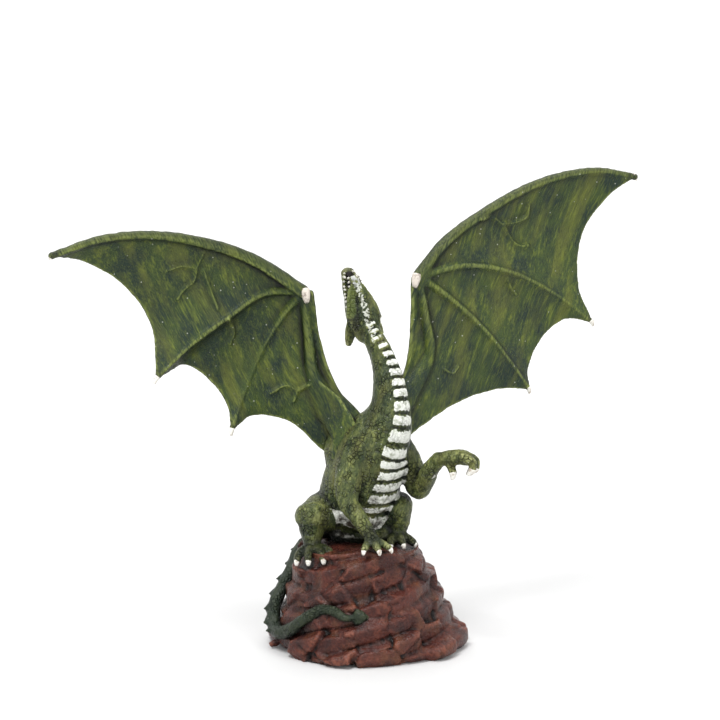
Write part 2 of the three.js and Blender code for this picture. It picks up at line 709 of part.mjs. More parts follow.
function meshOf(name, made, material) {
  const { numProp, vertProperties, triVerts } = made.getMesh();
  const positions = new Float32Array((vertProperties.length / numProp) * 3);
  for (let i = 0; i < positions.length / 3; i++)
    positions.set(vertProperties.subarray(i * numProp, i * numProp + 3), i * 3);
  const geometry = new THREE.BufferGeometry();
  geometry.setAttribute("position", new THREE.BufferAttribute(positions, 3));
  geometry.setIndex(new THREE.BufferAttribute(triVerts, 1));
  const mesh = new THREE.Mesh(geometry, material);
  mesh.name = name;
  return mesh;
}

const cutter = join(dragonParts(SEAM));
const figurine = new THREE.Group();
figurine.name = "dragon_figurine";
figurine.add(
  meshOf("rock_base", rock().subtract(cutter), RED_BROWN),
  meshOf("dragon", join(dragonParts(0)), GREEN),
  meshOf("right_wing", wing(RIGHT_WING, cutter), WING_GREEN),
  meshOf("left_wing", wing(LEFT_WING, cutter), WING_GREEN),
);

export default figurine;
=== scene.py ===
# %% [markdown]
# A painted dragon figurine, dressed for its portrait.
# The imported model is the frame: it says where the rock, the dragon and the two wings are, and how big.

# %% Load the frame
import math

import bpy
import numpy as np
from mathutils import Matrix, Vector
from mathutils.bvhtree import BVHTree


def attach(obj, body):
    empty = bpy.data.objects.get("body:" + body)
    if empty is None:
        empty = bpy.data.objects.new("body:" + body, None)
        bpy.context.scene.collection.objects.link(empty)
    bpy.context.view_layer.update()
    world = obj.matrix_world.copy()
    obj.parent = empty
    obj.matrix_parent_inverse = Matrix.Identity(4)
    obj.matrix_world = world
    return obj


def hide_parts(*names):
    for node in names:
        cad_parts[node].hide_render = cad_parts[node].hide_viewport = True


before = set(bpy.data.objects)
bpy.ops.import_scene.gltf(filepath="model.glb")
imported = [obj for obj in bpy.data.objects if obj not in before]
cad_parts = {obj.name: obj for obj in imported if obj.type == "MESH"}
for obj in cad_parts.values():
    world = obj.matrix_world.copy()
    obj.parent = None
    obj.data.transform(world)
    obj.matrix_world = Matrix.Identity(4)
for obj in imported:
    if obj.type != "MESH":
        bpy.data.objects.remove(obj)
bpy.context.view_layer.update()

MM = 0.001

# %% [markdown]
# The camera stands where the photographer stood: level with the snout and looking down nine degrees.
# A long lens from three quarters of a metre keeps the wings from looming. The picture is square, so the
# sensor's width alone sets the view.

# %% Camera
LOOK_DOWN = 9.0
DISTANCE = 760 * MM
TARGET = Vector((-2.3, 0, 103)) * MM
LENS = 106.75

camera = bpy.data.objects.new("camera", bpy.data.cameras.new("camera"))
camera.data.lens = LENS
camera.data.sensor_width = 36
camera.data.sensor_fit = "HORIZONTAL"
camera.rotation_euler = (math.radians(90 - LOOK_DOWN), 0, 0)
back = Vector((0, -math.cos(math.radians(LOOK_DOWN)), math.sin(math.radians(LOOK_DOWN))))
camera.location = TARGET + back * DISTANCE
bpy.context.collection.objects.link(camera)
bpy.context.scene.camera = camera
bpy.context.scene.view_settings.view_transform = "Standard"
print("camera at", [round(v, 3) for v in camera.location])

# %% [markdown]
# A node tree is easier to read as a list of nodes and links than as a picture, so one helper makes a
# node, sets it up and links its inputs. The others are short names for what comes up again and again: a
# product, a scaled vector, a cell pattern, the place on the object and a ramp from 0 to 1. Paint colours
# are written as a painter's chart shows them, in sRGB hexadecimal, and turned into linear values.


# %% Helpers for node trees and colours
def add(tree, kind, *inputs, **settings):
    made = tree.nodes.new(kind)
    for key, value in settings.items():
        setattr(made, key, value)
    for socket, value in zip(made.inputs, inputs):
        if isinstance(value, bpy.types.NodeSocket):
            tree.links.new(value, socket)
        elif value is not None:
            socket.default_value = value
    return made


def math_node(tree, operation, *inputs):
    return add(tree, "ShaderNodeMath", *inputs, operation=operation).outputs[0]


def times(tree, one, other):
    return math_node(tree, "MULTIPLY", one, other)


def vector_node(tree, operation, *inputs):
    return add(tree, "ShaderNodeVectorMath", *inputs, operation=operation).outputs[0]


def scaled(tree, vector, by):
    made = add(tree, "ShaderNodeVectorMath", vector, operation="SCALE")
    tree.links.new(by, made.inputs["Scale"])
    return made.outputs[0]


def voronoi(tree, place, scale, feature="F1"):
    made = add(tree, "ShaderNodeTexVoronoi", place, feature=feature)
    made.inputs["Scale"].default_value = scale
    return made.outputs


def object_place(tree):
    return add(tree, "ShaderNodeTexCoord").outputs["Object"]


def ramp(tree, value, low, high):
    return add(tree, "ShaderNodeMapRange", value, low, high, 0.0, 1.0).outputs[0]


def chart(code):
    parts = [int(code[i : i + 2], 16) / 255 for i in (0, 2, 4)]
    return [p / 12.92 if p <= 0.04045 else ((p + 0.055) / 1.055) ** 2.4 for p in parts] + [1.0]


# %% [markdown]
# The photograph has a white table that melts into a white wall. One sheet that curves up behind the
# figurine does that without a horizon. Three large soft lights leave only a faint shadow on it.

# %% Floor and lights
SWEEP_WIDTH = 6.0
SWEEP_BEND = 1.2
profile = [(-2.5, 0.0), (1.0, 0.0)]
profile += [
    (1.0 + SWEEP_BEND * math.sin(a), SWEEP_BEND * (1 - math.cos(a)))
    for a in np.linspace(0.1, math.pi / 2, 14)
]
profile.append((1.0 + SWEEP_BEND, 4.0))
corners = [(x, y, z) for y, z in profile for x in (-SWEEP_WIDTH / 2, SWEEP_WIDTH / 2)]
strips = [(2 * i, 2 * i + 1, 2 * i + 3, 2 * i + 2) for i in range(len(profile) - 1)]
sweep_mesh = bpy.data.meshes.new("floor")
sweep_mesh.from_pydata(corners, [], strips)
floor = bpy.data.objects.new("floor", sweep_mesh)
bpy.context.collection.objects.link(floor)
for face in sweep_mesh.polygons:
    face.use_smooth = True
white = bpy.data.materials.new("white_paper")
white.use_nodes = True
paper = white.node_tree.nodes["Principled BSDF"]
tree = white.node_tree
# Painted shade: the white sweep is made grey at the front and turns whiter towards the wall.
spot = add(tree, "ShaderNodeSeparateXYZ", object_place(tree)).outputs[1]
pale = add(tree, "ShaderNodeMapRange", spot, 0.05, 0.9, 0.6, 0.92).outputs[0]
tree.links.new(add(tree, "ShaderNodeCombineColor", pale, pale, pale).outputs[0], paper.inputs["Base Color"])
paper.inputs["Roughness"].default_value = 0.7
sweep_mesh.materials.append(white)


def soft_light(name, place, size, power):
    lamp = bpy.data.lights.new(name, "AREA")
    lamp.size = size
    lamp.energy = power
    lit = bpy.data.objects.new(name, lamp)
    lit.location = place
    lit.rotation_euler = (Vector((0, 0, 0.08)) - lit.location).to_track_quat("-Z", "Y").to_euler()
    bpy.context.collection.objects.link(lit)


soft_light("key_light", Vector((-0.35, -0.55, 1.4)), 0.5, 17)
soft_light("fill_light", Vector((0.9, -1.1, 0.7)), 0.9, 5)
soft_light("top_light", Vector((0.1, 0.5, 1.5)), 1.2, 8)
sky = bpy.data.worlds.new("studio")
bpy.context.scene.world = sky
sky.use_nodes = True
sky.node_tree.nodes["Background"].inputs["Color"].default_value = (1, 1, 1, 1)
sky.node_tree.nodes["Background"].inputs["Strength"].default_value = 0.95
print("stage: one sweep and three lamps")

# %% [markdown]
# The sculptor built the dragon up from rolls of clay, and so do we. A roll is a run of oval sections
# along a smooth curve. The curve is the centripetal Catmull-Rom spline, which passes through its
# points without loops, and it is the one that the solids were made with, so the forms agree. Two soft
# thresholds are used all through: step goes up from 0 to 1, and fade comes down from 1 to 0.

# %% Smooth curves through points, in millimetres
SEAT = 36.0  # height of the rock's seat


def posed(x, y, z):
    return np.array([x, y, SEAT + z], float)


def curve(points, shares):
    points = np.asarray(points, float)
    padded = np.vstack([2 * points[0] - points[1], points, 2 * points[-1] - points[-2]])
    run = np.clip(np.asarray(shares, float), 0, 1) * (len(points) - 1)
    i = np.minimum(run.astype(int), len(points) - 2)
    f = (run - i)[:, None]
    a, b, c, d = (padded[i + k] for k in range(4))
    gap = [np.sqrt(np.linalg.norm(q - p, axis=1, keepdims=True)) + 1e-9 for p, q in ((a, b), (b, c), (c, d))]
    start = gap[1] * ((b - a) / gap[0] - (c - a) / (gap[0] + gap[1]) + (c - b) / gap[1])
    end = gap[1] * ((c - b) / gap[1] - (d - b) / (gap[1] + gap[2]) + (d - c) / gap[2])
    return b + start * f + (3 * (c - b) - 2 * start - end) * f**2 + (2 * (b - c) + start + end) * f**3


def along(values, shares):
    values = np.asarray(values, float)
    run = np.clip(np.asarray(shares, float), 0, 1) * (len(values) - 1)
    i = np.minimum(run.astype(int), len(values) - 2)
    f = run - i
    a, b, c, d = (values[np.clip(i + k, 0, len(values) - 1)] for k in (-1, 0, 1, 2))
    return b + 0.5 * f * (c - a + f * (2 * a - 5 * b + 4 * c - d + f * (3 * (b - c) + d - a)))


def unit(vectors):
    return vectors / (np.linalg.norm(vectors, axis=-1, keepdims=True) + 1e-12)


def step(value, low, high):
    x = np.clip((value - low) / (high - low), 0, 1)
    return x * x * (3 - 2 * x)


def fade(value, full, none):  # 1 up to full, 0 from none on
    return step(-value, -none, -full)


def facing(degrees):
    a = np.radians(np.asarray(degrees, float))
    return np.stack([np.sin(a), -np.cos(a), 0 * a], -1)


# %% [markdown]
# A station of a roll is a place, a half width and a half depth. A roll of clay is closed by rounded
# ends. A horn is a roll that swells a little, bows and comes to a point. Both give back plain points and
# faces, so that many of them can be pressed together later.


# %% Rolls of clay and horns
def stations(place, rows):
    return [(place(*row[:3]), *row[3:]) for row in rows]


def sections(points, shares, front):
    middle = curve(points, shares)
    tangent = unit(curve(points, shares + 1e-4) - curve(points, shares - 1e-4))
    ahead = front(shares) if callable(front) else np.broadcast_to(front, middle.shape)
    side = unit(np.cross(tangent, ahead))
    return middle, tangent, side, unit(np.cross(side, tangent))


def closed_rings(rings, first, last):
    count, sides = len(rings), rings.shape[1]
    points = np.vstack([first[None], rings.reshape(-1, 3), last[None]])
    i = np.arange(sides)
    j = (i + 1) % sides
    faces = [(0, 1 + b, 1 + a) for a, b in zip(i, j)]
    for r in range(count - 1):
        base = 1 + r * sides
        faces += [(base + a, base + b, base + sides + b, base + sides + a) for a, b in zip(i, j)]
    base = 1 + (count - 1) * sides
    faces += [(base + a, base + b, len(points) - 1) for a, b in zip(i, j)]
    return points, faces


def roll(stations, front, sides=28, steps=24):
    points = [s[0] for s in stations]
    wide = [s[1] for s in stations]
    deep = [s[2] for s in stations]
    shares = np.linspace(0, 1, steps + 1)
    caps = np.radians([72, 50, 25])
    rings = []
    around = np.linspace(0, 2 * np.pi, sides, endpoint=False)

    def ring(share, scale, push):
        middle, tangent, side, face = (v[0] for v in sections(points, np.array([share]), front))
        w, d = along(wide, [share])[0], along(deep, [share])[0]
        middle = middle + tangent * push * min(w, d)
        across = np.sin(around)[:, None] * side * w * scale
        return middle + np.cos(around)[:, None] * face * d * scale + across

    rings += [ring(0, math.cos(a), -math.sin(a)) for a in caps]
    rings += [ring(s, 1, 0) for s in shares]
    rings += [ring(1, math.cos(a), math.sin(a)) for a in caps[::-1]]
    return closed_rings(np.array(rings), ring(0, 0, -1)[0], ring(1, 0, 1)[0])


def horn(root, tip, width, depth, front, sides=14):
    root, tip = np.asarray(root, float), np.asarray(tip, float)
    axis = tip - root
    side = unit(np.cross(axis, front))
    face = unit(np.cross(side, axis))
    around = np.linspace(0, 2 * np.pi, sides, endpoint=False)
    rings = []
    for t in np.linspace(0, 0.94, 8):
        swell = 1 - t**1.6
        middle = root + axis * t + face * 0.08 * np.linalg.norm(axis) * math.sin(math.pi * t)
        across = np.sin(around)[:, None] * side * width * swell
        rings.append(middle + np.cos(around)[:, None] * face * depth * swell + across)
    return closed_rings(np.array(rings), root - axis * 0.15, tip)


# %% [markdown]
# Pressing the rolls together is a voxel remesh: Blender fills the space inside all the shapes with
# tiny cubes and wraps one even skin round them. A few rounds of relaxing then soften the creases where
# a limb meets the body, the way a wet thumb does.


# %% Press shapes together into one even skin
def make_object(name, points, faces):
    mesh = bpy.data.meshes.new(name)
    mesh.from_pydata((np.asarray(points) * MM).tolist(), [], [list(map(int, f)) for f in faces])
    made = bpy.data.objects.new(name, mesh)
    bpy.context.collection.objects.link(made)
    return made


def bake_modifiers(thing):
    graph = bpy.context.evaluated_depsgraph_get()
    baked = bpy.data.meshes.new_from_object(thing.evaluated_get(graph), depsgraph=graph)
    thing.modifiers.clear()
    old = thing.data
    thing.data = baked
    bpy.data.meshes.remove(old)
    baked.name = thing.name


def read(parts, name, width, kind=float):
    flat = np.empty(width * len(parts), kind)
    parts.foreach_get(name, flat)
    return flat.reshape(-1, width)


def read_points(thing):
    return read(thing.data.vertices, "co", 3) / MM


def read_normals(thing):
    return read(thing.data.vertices, "normal", 3)


def write_points(thing, points):
    thing.data.vertices.foreach_set("co", (points * MM).ravel())
    thing.data.update()


def relax(thing, values, rounds, amount=0.5):
    a, b = read(thing.data.edges, "vertices", 2, int).T.copy()
    n = len(values)
    share = np.bincount(a, minlength=n) + np.bincount(b, minlength=n)
    for _ in range(rounds):
        total = np.stack([np.bincount(a, v[b], n) + np.bincount(b, v[a], n) for v in values.T], -1)
        values = values + amount * (total / share[:, None] - values)
    return values


def voxel_wrap(thing, voxel):
    wrap = thing.modifiers.new("wrap", "REMESH")
    wrap.mode = "VOXEL"
    wrap.voxel_size = voxel * MM
    bake_modifiers(thing)


def press_together(name, shapes, voxel, soften):
    points = np.vstack([p for p, _ in shapes])
    starts = np.cumsum([0] + [len(p) for p, _ in shapes[:-1]])
    faces = [[i + s for i in f] for (_, fs), s in zip(shapes, starts) for f in fs]
    thing = make_object(name, points, faces)
    voxel_wrap(thing, voxel)
    write_points(thing, relax(thing, read_points(thing), soften))
    print(name, "from", len(shapes), "shapes,", len(thing.data.polygons), "faces")
    return thing


def store(thing, name, values):
    layer = thing.data.attributes.get(name) or thing.data.attributes.new(name, "FLOAT", "POINT")
    layer.data.foreach_set("value", np.asarray(values, np.float32))


# %% [markdown]
# Torso and neck are one roll from the tail root to the throat. The torso faces to the viewer's right
# and the head turns back towards the camera, so the front direction turns along the way.

# %% Torso, neck and shoulders
TORSO_TURN = 36
HEAD_TURN = 18
SPINE = stations(posed, [
    (-11, 17, 7, 7.5, 7),
    (-5.5, 8.8, 11.6, 12.9, 12.2),
    (-2.4, 5.4, 20, 14, 13.6),
    (0.6, 2.6, 28.5, 14, 13.5),
    (3.2, 0, 36.5, 12.8, 12.8),
    (7.1, -2.2, 44.5, 9.2, 10.2),
    (8.4, -2.6, 51.5, 6.6, 7.8),
    (8, -1.5, 58, 5.7, 6.4),
    (6.9, 0.3, 64, 4.7, 5.3),
    (5, 2.2, 69.5, 4.1, 4.6),
    (2.2, 3.8, 75, 3.9, 4.2),
    (0, 4.6, 79.5, 3.8, 3.6),
])


def spine_front(shares):
    return facing(TORSO_TURN + (HEAD_TURN - TORSO_TURN) * step(shares, 0.62, 1))


ahead = facing(TORSO_TURN)
upward = np.array([0, 0, 1.0])
viewer = np.array([0, -1.0, 0])
clay = [roll(SPINE, spine_front, 48, 90)]
for centre, radius in ((posed(-3.2, 4.2, 38.2), 5.8), (posed(9, 8, 42), 6)):
    clay.append(roll([(centre - 0.4, radius, radius), (centre + 0.4, radius, radius)], ahead, 28, 2))
drape = stations(posed, [
    (-7.2, 0.8, 44.5, 3.2, 1.3),
    (-8.6, -0.2, 39, 6.8, 2.2),
    (-9.8, -0.6, 32, 7.6, 2.7),
    (-10, 1.6, 25.5, 5.8, 2.6),
])
clay.append(roll(drape, facing(-46), 32, 24))  # skin that runs from the chest out on to the wing
clay.append(roll([(posed(-9, 6, 2.5), 5.5, 4.5), (posed(5, 5, 2.5), 5.5, 4.5)], upward, 24, 8))
print("torso and shoulders:", len(clay), "rolls")

# %% [markdown]
# The head has directions of its own: along to the snout, under to the chin, and its own right, which
# is the viewer's left. Skull, lower jaw, cheeks, brows and ear flaps are placed in those.

# %% Head
HEAD_ROOT = posed(0.8, 4.4, 75)
snout_way = unit(np.array([-0.295, 0.079, 0.952]))
chin_way = unit(facing(HEAD_TURN) - snout_way * (facing(HEAD_TURN) @ snout_way))
right_way = np.cross(chin_way, snout_way)


def head_at(a, u, r):
    return HEAD_ROOT + a * snout_way + u * chin_way + r * right_way


skull = stations(head_at, [
    (1, -1, 0, 4.4, 3.8),
    (5.5, -1.6, 0, 5.5, 4.2),
    (9.5, -1.9, 0, 5.5, 3.8),
    (14.5, -2, 0, 4.5, 2.9),
    (20, -2.1, 0, 3.5, 1.9),
    (24, -2.2, 0, 2.6, 1.7),
])
jaw = stations(head_at, [
    (3, 1.6, 0, 3.4, 2.2),
    (8.5, 2.6, 0, 3.8, 1.9),
    (14, 3.1, 0, 3, 1.4),
    (18.5, 3.5, 0, 2.3, 1.2),
    (21.5, 3.7, 0, 1.7, 1),
])
clay += [roll(skull, chin_way, 32, 28), roll(jaw, chin_way, 28, 22)]
clay.append(horn(head_at(23.5, -2.8, 0), head_at(25.6, -5.4, 0), 0.9, 1, chin_way))
for side in (-1, 1):
    flap = [(7, -2.6, 3.2, 2.1, 1.7), (3.4, -4, 4.9, 2.1, 1.3), (0.2, -5.2, 6.1, 1.7, 0.9),
            (-1, -5.6, 6.6, 1.2, 0.7)]
    clay.append(roll([(head_at(a, u, side * r), w, d) for a, u, r, w, d in flap], chin_way, 20, 14))
    clay.append(horn(head_at(9, 0.4, side * 3.8), head_at(4, 0.4, side * 7.4), 2, 0.9, chin_way))
    brow = [(8.5, -3.6, 3, 0.9), (11.5, -4, 3.1, 1.1), (14.5, -3.4, 2.4, 0.7)]
    cheek = [(3.5, 1.6, 3.7, 1.7), (8, 1.7, 4.1, 2.3), (13, 2.3, 3.4, 1.7), (18, 3.2, 2.4, 0.9)]
    lip = [(12, -0.5, 4.3, 0.7), (17, -0.7, 3.5, 0.65), (21.5, -0.9, 2.6, 0.6), (24.4, -1, 1.2, 0.5)]
    nostril = [(22.6, -3.8, 1.3, 0.7), (24, -3.7, 1.2, 0.6)]
    for path, flat, sides, steps in (
        (brow, 1, 14, 10), (cheek, 0.9, 16, 12), (lip, 1, 12, 14), (nostril, 1, 12, 2)
    ):
        placed = [(head_at(a, u, side * r), s, s * flat) for a, u, r, s in path]
        clay.append(roll(placed, chin_way, sides, steps))
lobe = [head_at(9.5, 2, 4.2), head_at(14, 2.5, 3.3), head_at(17.8, 3.2, 2.4)]
print("head added:", len(clay), "rolls so far")

# %% [markdown]
# Legs are thick rolls that end in toes. Each toe fans out from the ankle. Where a toe ends we keep the
# place and the direction, because the claws are a separate repeat that is set there later.

# %% Legs, arms, toes and fingers
CLAW_LENGTH = 2.1
CLAW_BARE = 0.56  # the share of a claw that is out of its toe
claw_spots = []  # (root, direction times length, radius, way that the claw hooks)
thumb_spots = []  # the same, for the claw on each wing's wrist


def toes(ankle, radius, fan):
    for knuckle, end in ((posed(*a), posed(*b)) for a, b in fan):
        rows = [(ankle, radius * 1.25, radius * 1.1), (knuckle, radius * 1.05, radius * 1.05),
                (end, radius * 0.85, radius * 0.85)]
        clay.append(roll(rows, upward, 16, 12))
        reach = unit(end - knuckle) * CLAW_LENGTH - upward * CLAW_LENGTH * 0.4
        claw_spots.append((end + unit(reach) * 0.5, reach * CLAW_BARE, radius * 0.62, -upward))


def leg(hip, knee, shin, ankle):
    clay.append(roll([(hip, 8.2, 8.2), ((hip + knee) / 2, 7.4, 8.2), (knee, 5.2, 6)], ahead, 32, 20))
    clay.append(roll([(knee, 4.8, 5), (shin, 4.4, 4.6), (ankle, 3, 2.7)], ahead, 28, 16))


right_ankle = posed(-19.4, -6, 0.2)
leg(posed(-11.5, 8, 10.5), posed(-20, -4.5, 11), posed(-19.6, -4, 5.6), right_ankle)
toes(right_ankle, 1.7, (
    ((-23.6, -9.5, -1.1), (-24.6, -12.2, -3)),
    ((-20.6, -11.6, -0.6), (-20.6, -14.8, -2.4)),
    ((-16.6, -11.6, -0.4), (-15.4, -15, -2)),
    ((-14.6, -8.8, 0), (-12, -11.6, -1.6)),
))
left_ankle = posed(11.4, 4.5, 1.8)
leg(posed(4, 11.5, 8.5), posed(11.6, 4.6, 12.4), posed(11.3, 5.2, 6.8), left_ankle)
toes(left_ankle, 1.6, (
    ((9, -0.6, 1.6), (8.8, -3.8, 0.6)),
    ((12.2, 0, 1.6), (13.2, -3, 0.5)),
    ((14.8, 2.4, 1.3), (17.2, 0.6, 0)),
))
planted_wrist = posed(1.8, -18.6, 6.4)
planted_arm = stations(posed, [
    (-3.6, -4, 33.5, 6.6, 6),
    (-6.4, -9, 25, 5.2, 5),
    (-6.6, -12, 18, 3.7, 3.8),
    (-2, -15.6, 12, 3, 3),
]) + [(planted_wrist, 2.4, 2.3)]
clay.append(roll(planted_arm, ahead, 28, 36))
toes(planted_wrist, 1.45, (
    ((0, -20.8, 4.6), (-0.8, -22.6, 3.4)),
    ((3.2, -21.2, 4.6), (4.2, -23.2, 3.4)),
    ((5.4, -19.8, 4.8), (8, -21.4, 3.6)),
))
raised_wrist = posed(25.6, -9.4, 33)
raised_arm = stations(posed, [
    (11, 2.6, 35.5, 5.4, 5.6),
    (15.6, 2.6, 28, 4.8, 5),
    (18.6, 1.4, 19.6, 3.7, 3.8),
    (20.8, -2.6, 23.4, 3.6, 3.6),
    (22.8, -6.6, 28.6, 3.2, 3),
]) + [(raised_wrist, 2.8, 2.5)]
clay.append(roll(raised_arm, facing(-50), 28, 48))
hand = [(raised_wrist, 2.8, 2.5), (posed(32.5, -14.6, 34.8), 3.5, 2.8), (posed(36, -17, 34.6), 3.4, 2.4)]
clay.append(roll(hand, upward, 24, 14))
for knuckle, middle, end, tip in (
    (posed(28.2, -12.4, 34.4), posed(29.6, -14, 31.4), posed(30.4, -14.6, 29.4), posed(31, -15, 26.6)),
    (posed(34, -19, 35.4), posed(36.8, -20.4, 34), posed(37.2, -20.8, 31.8), posed(36.2, -20.6, 29)),
    (posed(35.8, -16.8, 35.4), posed(38.2, -17.2, 33.8), posed(38.4, -17.4, 31.6), posed(37.4, -17.4, 29)),
    (posed(35.4, -14.6, 34.6), posed(37.4, -14, 32.4), posed(37.2, -14, 30.4), posed(36, -14.4, 27.8)),
):
    clay.append(roll([(knuckle, 1.8, 1.8), (middle, 1.7, 1.7), (end, 1.4, 1.4)], facing(70), 16, 12))
    claw_spots.append((end, (tip - end) * 0.95, 1.4, unit(np.array([-1, 0.3, -0.2]))))
print("limbs added:", len(clay), "rolls,", len(claw_spots), "claws to come")

# %% [markdown]
# The rock comes before the tail, because the tail lies on it. Its side is a rule: beds of stone rise to
# the viewer's right, the radius steps in at the top of each bed, and the angle picks the block of that
# bed, which stands out by its own chance. The solid uses the same rule and the same seed.

# %% The rule for the rock's side
ROCK_WIDTH = 73.5
ROCK_DEPTH = 71.0
ROCK_TOP_WIDTH = 41.5
ROCK_LEAN = 2.6
ROCK_LAYERS = 5
BED_SLOPE = 0.24
BLOCK_RISE = 0.1
BLOCKS_PER_BED = 7
ROCK_SEED = 151.7
SEAT_DROP = 3.4
BOSS_RISE = 2.0
TAPER = ROCK_TOP_WIDTH / ROCK_WIDTH


def chance(bed, block):
    n = np.sin(bed * 12.9898 + block * 78.233 + ROCK_SEED) * 43758.5453
    return n - np.floor(n)


def blocks(angle, bed):
    run = angle / (2 * np.pi) * BLOCKS_PER_BED + chance(bed, 50)
    block = np.floor(run)
    f = run - block
    own = step(f, 0, 0.14)
    before = chance(bed, (block - 1) % BLOCKS_PER_BED) - 0.5
    here = chance(bed, block % BLOCKS_PER_BED) - 0.5
    tilt = chance(bed + 31, block % BLOCKS_PER_BED) - 0.5
    return BLOCK_RISE * (before + (here - before) * own + 0.9 * tilt * (f - 0.5) * own)


def bed_run(angle, height):
    x = ROCK_WIDTH / 2 * (1 - (1 - TAPER) * height) * np.cos(angle)
    return (height - BED_SLOPE * x / SEAT) * ROCK_LAYERS


def rock_side(angle, height):
    angle, height = np.broadcast_arrays(np.asarray(angle, float), np.asarray(height, float))
    run = bed_run(angle, height)
    bed = np.floor(run)
    ledge = step(run - bed, 0.7, 1)
    stair = bed + ledge * 0.85 + (run - bed) * 0.15
    stone = blocks(angle, bed) + (blocks(angle, bed + 1) - blocks(angle, bed)) * ledge
    r = (1 - (1 - TAPER) * (height + (stair - run + 0.3) / ROCK_LAYERS)) * (1 + stone)
    x = ROCK_WIDTH / 2 * r * np.cos(angle) - ROCK_LEAN * height
    y = ROCK_DEPTH / 2 * r * np.sin(angle)
    return np.stack([x, y, SEAT * height], -1)


# %% [markdown]
# The tail leaves the rump, drops over the back of the seat and lies round the rock. Each resting
# station is an angle round the rock, a height share and a radius, so it follows the stone by itself.

# %% Tail and its spade
TAIL_ON_ROCK = [
    (130, 0.93, 4.2),
    (147, 0.83, 3.3),
    (161, 0.67, 2.7),
    (172, 0.49, 2.4),
    (183, 0.32, 2.4),
    (193, 0.19, 2.6),
    (205, 0.18, 2.5),
    (217, 0.25, 2.4),
    (229, 0.39, 2.1),
    (240, 0.49, 2),
    (250, 0.5, 1.8),
    (258, 0.45, 1.4),
    (263, 0.45, 1.2),
]
TAIL_SINK = 0.35
tail = [(posed(-8, 13, 9.5), 7, 6.6), (posed(-11.5, 18.5, 5), 5.4, 5.2)]
for degrees, height, radius in TAIL_ON_ROCK:
    a = math.radians(degrees)
    out = unit(np.array([math.cos(a), math.sin(a), 0.25]))
    tail.append((rock_side(a, height) + out * radius * (1 - TAIL_SINK), radius, radius))
tail_way = np.array([0.01, 0, 1])
clay.append(roll(tail, tail_way, 22, 220))
tail_points = [s[0] for s in tail]
tail_end, _ = curve(tail_points, [1.0, 1.0])
reach = unit(curve(tail_points, [1.0]) - curve(tail_points, [0.999]))[0]
off = unit(np.array([tail_end[0], tail_end[1], 0]))
half_widths = [0.6, 3.3, 2.7, 0.9]
spade = [(tail_end + reach * (i * 2.1 - 1), w, w * 0.42 + 0.2) for i, w in enumerate(half_widths)]
clay.append(roll(spade, off, 16, 16))

for t in np.linspace(0.16, 0.52, 8):
    root = curve(tail_points, [t])[0]
    back = sections(tail_points, np.array([t]), tail_way)[1][0]
    out = unit(np.array([root[0], root[1], 0]))
    radius = along([s[1] for s in tail], [t])[0]
    clay.append(horn(root + out * radius * 0.6, root + out * (radius + 1.9) + back * 1.4, 0.8, 1.9, back))
for t in np.linspace(0.06, 0.96, 16):
    middle, tangent, _, face = (v[0] for v in sections([s[0] for s in SPINE], np.array([t]), spine_front))
    deep = along([s[2] for s in SPINE], [t])[0]
    tall = 2.6 - 1.1 * t
    root = middle - face * deep * 0.86
    clay.append(horn(root, middle - face * (deep + tall) - tangent * tall * 0.8, 0.7, 1.9, -tangent))
print("tail, fins and back spines added:", len(clay), "shapes")

# %% [markdown]
# Now all of it is pressed into one skin. Half a millimetre is fine enough for toes and lips, and it
# keeps the piece under its limit of faces.

# %% Press the dragon together
VOXEL = 0.5
dragon = press_together("dragon_body", clay, VOXEL, 3)

# %% [markdown]
# The belly is a ladder of plates. To carve them we ask, for each point of the skin, where along the
# spine it is and how far round from the front. The plates' two edges are tables of that turn, because
# the torso twists and shows more of its left side. Points that belong to a leg or an arm stand off the
# torso's own oval, and are left alone.


# %% Belly plates
PLATE_COUNT = 20
PLATES_FROM = 0.05
PLATE_RISE = 0.75
EDGE_SHARES = [0.06, 0.125, 0.16, 0.22, 0.27, 0.36, 0.45, 0.55, 0.8, 1]
RIGHT_EDGE = [-1.4, -1.4, -0.55, -0.42, -0.4, -0.43, -0.55, -0.57, -0.48, -0.45]
LEFT_EDGE = [1.5, 1.4, 1.1, 0.95, 0.75, 0.72, 0.6, 0.62, 0.62, 0.6]


def nearest_share(points, path, samples=500):
    shares = np.linspace(0, 1, samples)
    line = curve(path, shares)
    best = np.empty(len(points), int)
    for i in range(0, len(points), 4000):
        gaps = ((points[i : i + 4000, None] - line[None]) ** 2).sum(-1)
        best[i : i + 4000] = gaps.argmin(1)
    return shares[best]


skin_points = read_points(dragon)
skin_normals = read_normals(dragon)
spine_points = [s[0] for s in SPINE]
share = nearest_share(skin_points, spine_points)
middle, tangent, side, face = sections(spine_points, share, spine_front)
arm = skin_points - middle
to_front, to_side = (arm * face).sum(1), (arm * side).sum(1)
wide, deep = along([s[1] for s in SPINE], share), along([s[2] for s in SPINE], share)
turn = np.arctan2(to_side / wide, to_front / deep)
stand_off = (np.hypot(to_side / wide, to_front / deep) - 1) * np.minimum(wide, deep)
on_torso = fade(np.abs(stand_off), 0.7, 1.6)
rung = (share - PLATES_FROM) / (1 - PLATES_FROM) * PLATE_COUNT
in_rung = rung - np.floor(rung)
low, high = np.interp(share, EDGE_SHARES, RIGHT_EDGE), np.interp(share, EDGE_SHARES, LEFT_EDGE)
across_plate = step(turn, low, low + 0.1) * fade(turn, high - 0.1, high) * on_torso
across_plate *= share > PLATES_FROM
bulge = np.sin(np.pi * np.clip(in_rung * 1.12 - 0.06, 0, 1)) ** 0.6
skin_points += skin_normals * (across_plate * PLATE_RISE * (bulge - 0.45))[:, None]
write_points(dragon, skin_points)
worn = step(share, 0.66, 0.92)
start = 0.05 + 0.22 * worn
rung_paint = step(in_rung, start, start + 0.25) * fade(in_rung, 0.68, 0.95)
store(dragon, "belly", across_plate * (1 - 0.3 * worn) * rung_paint)
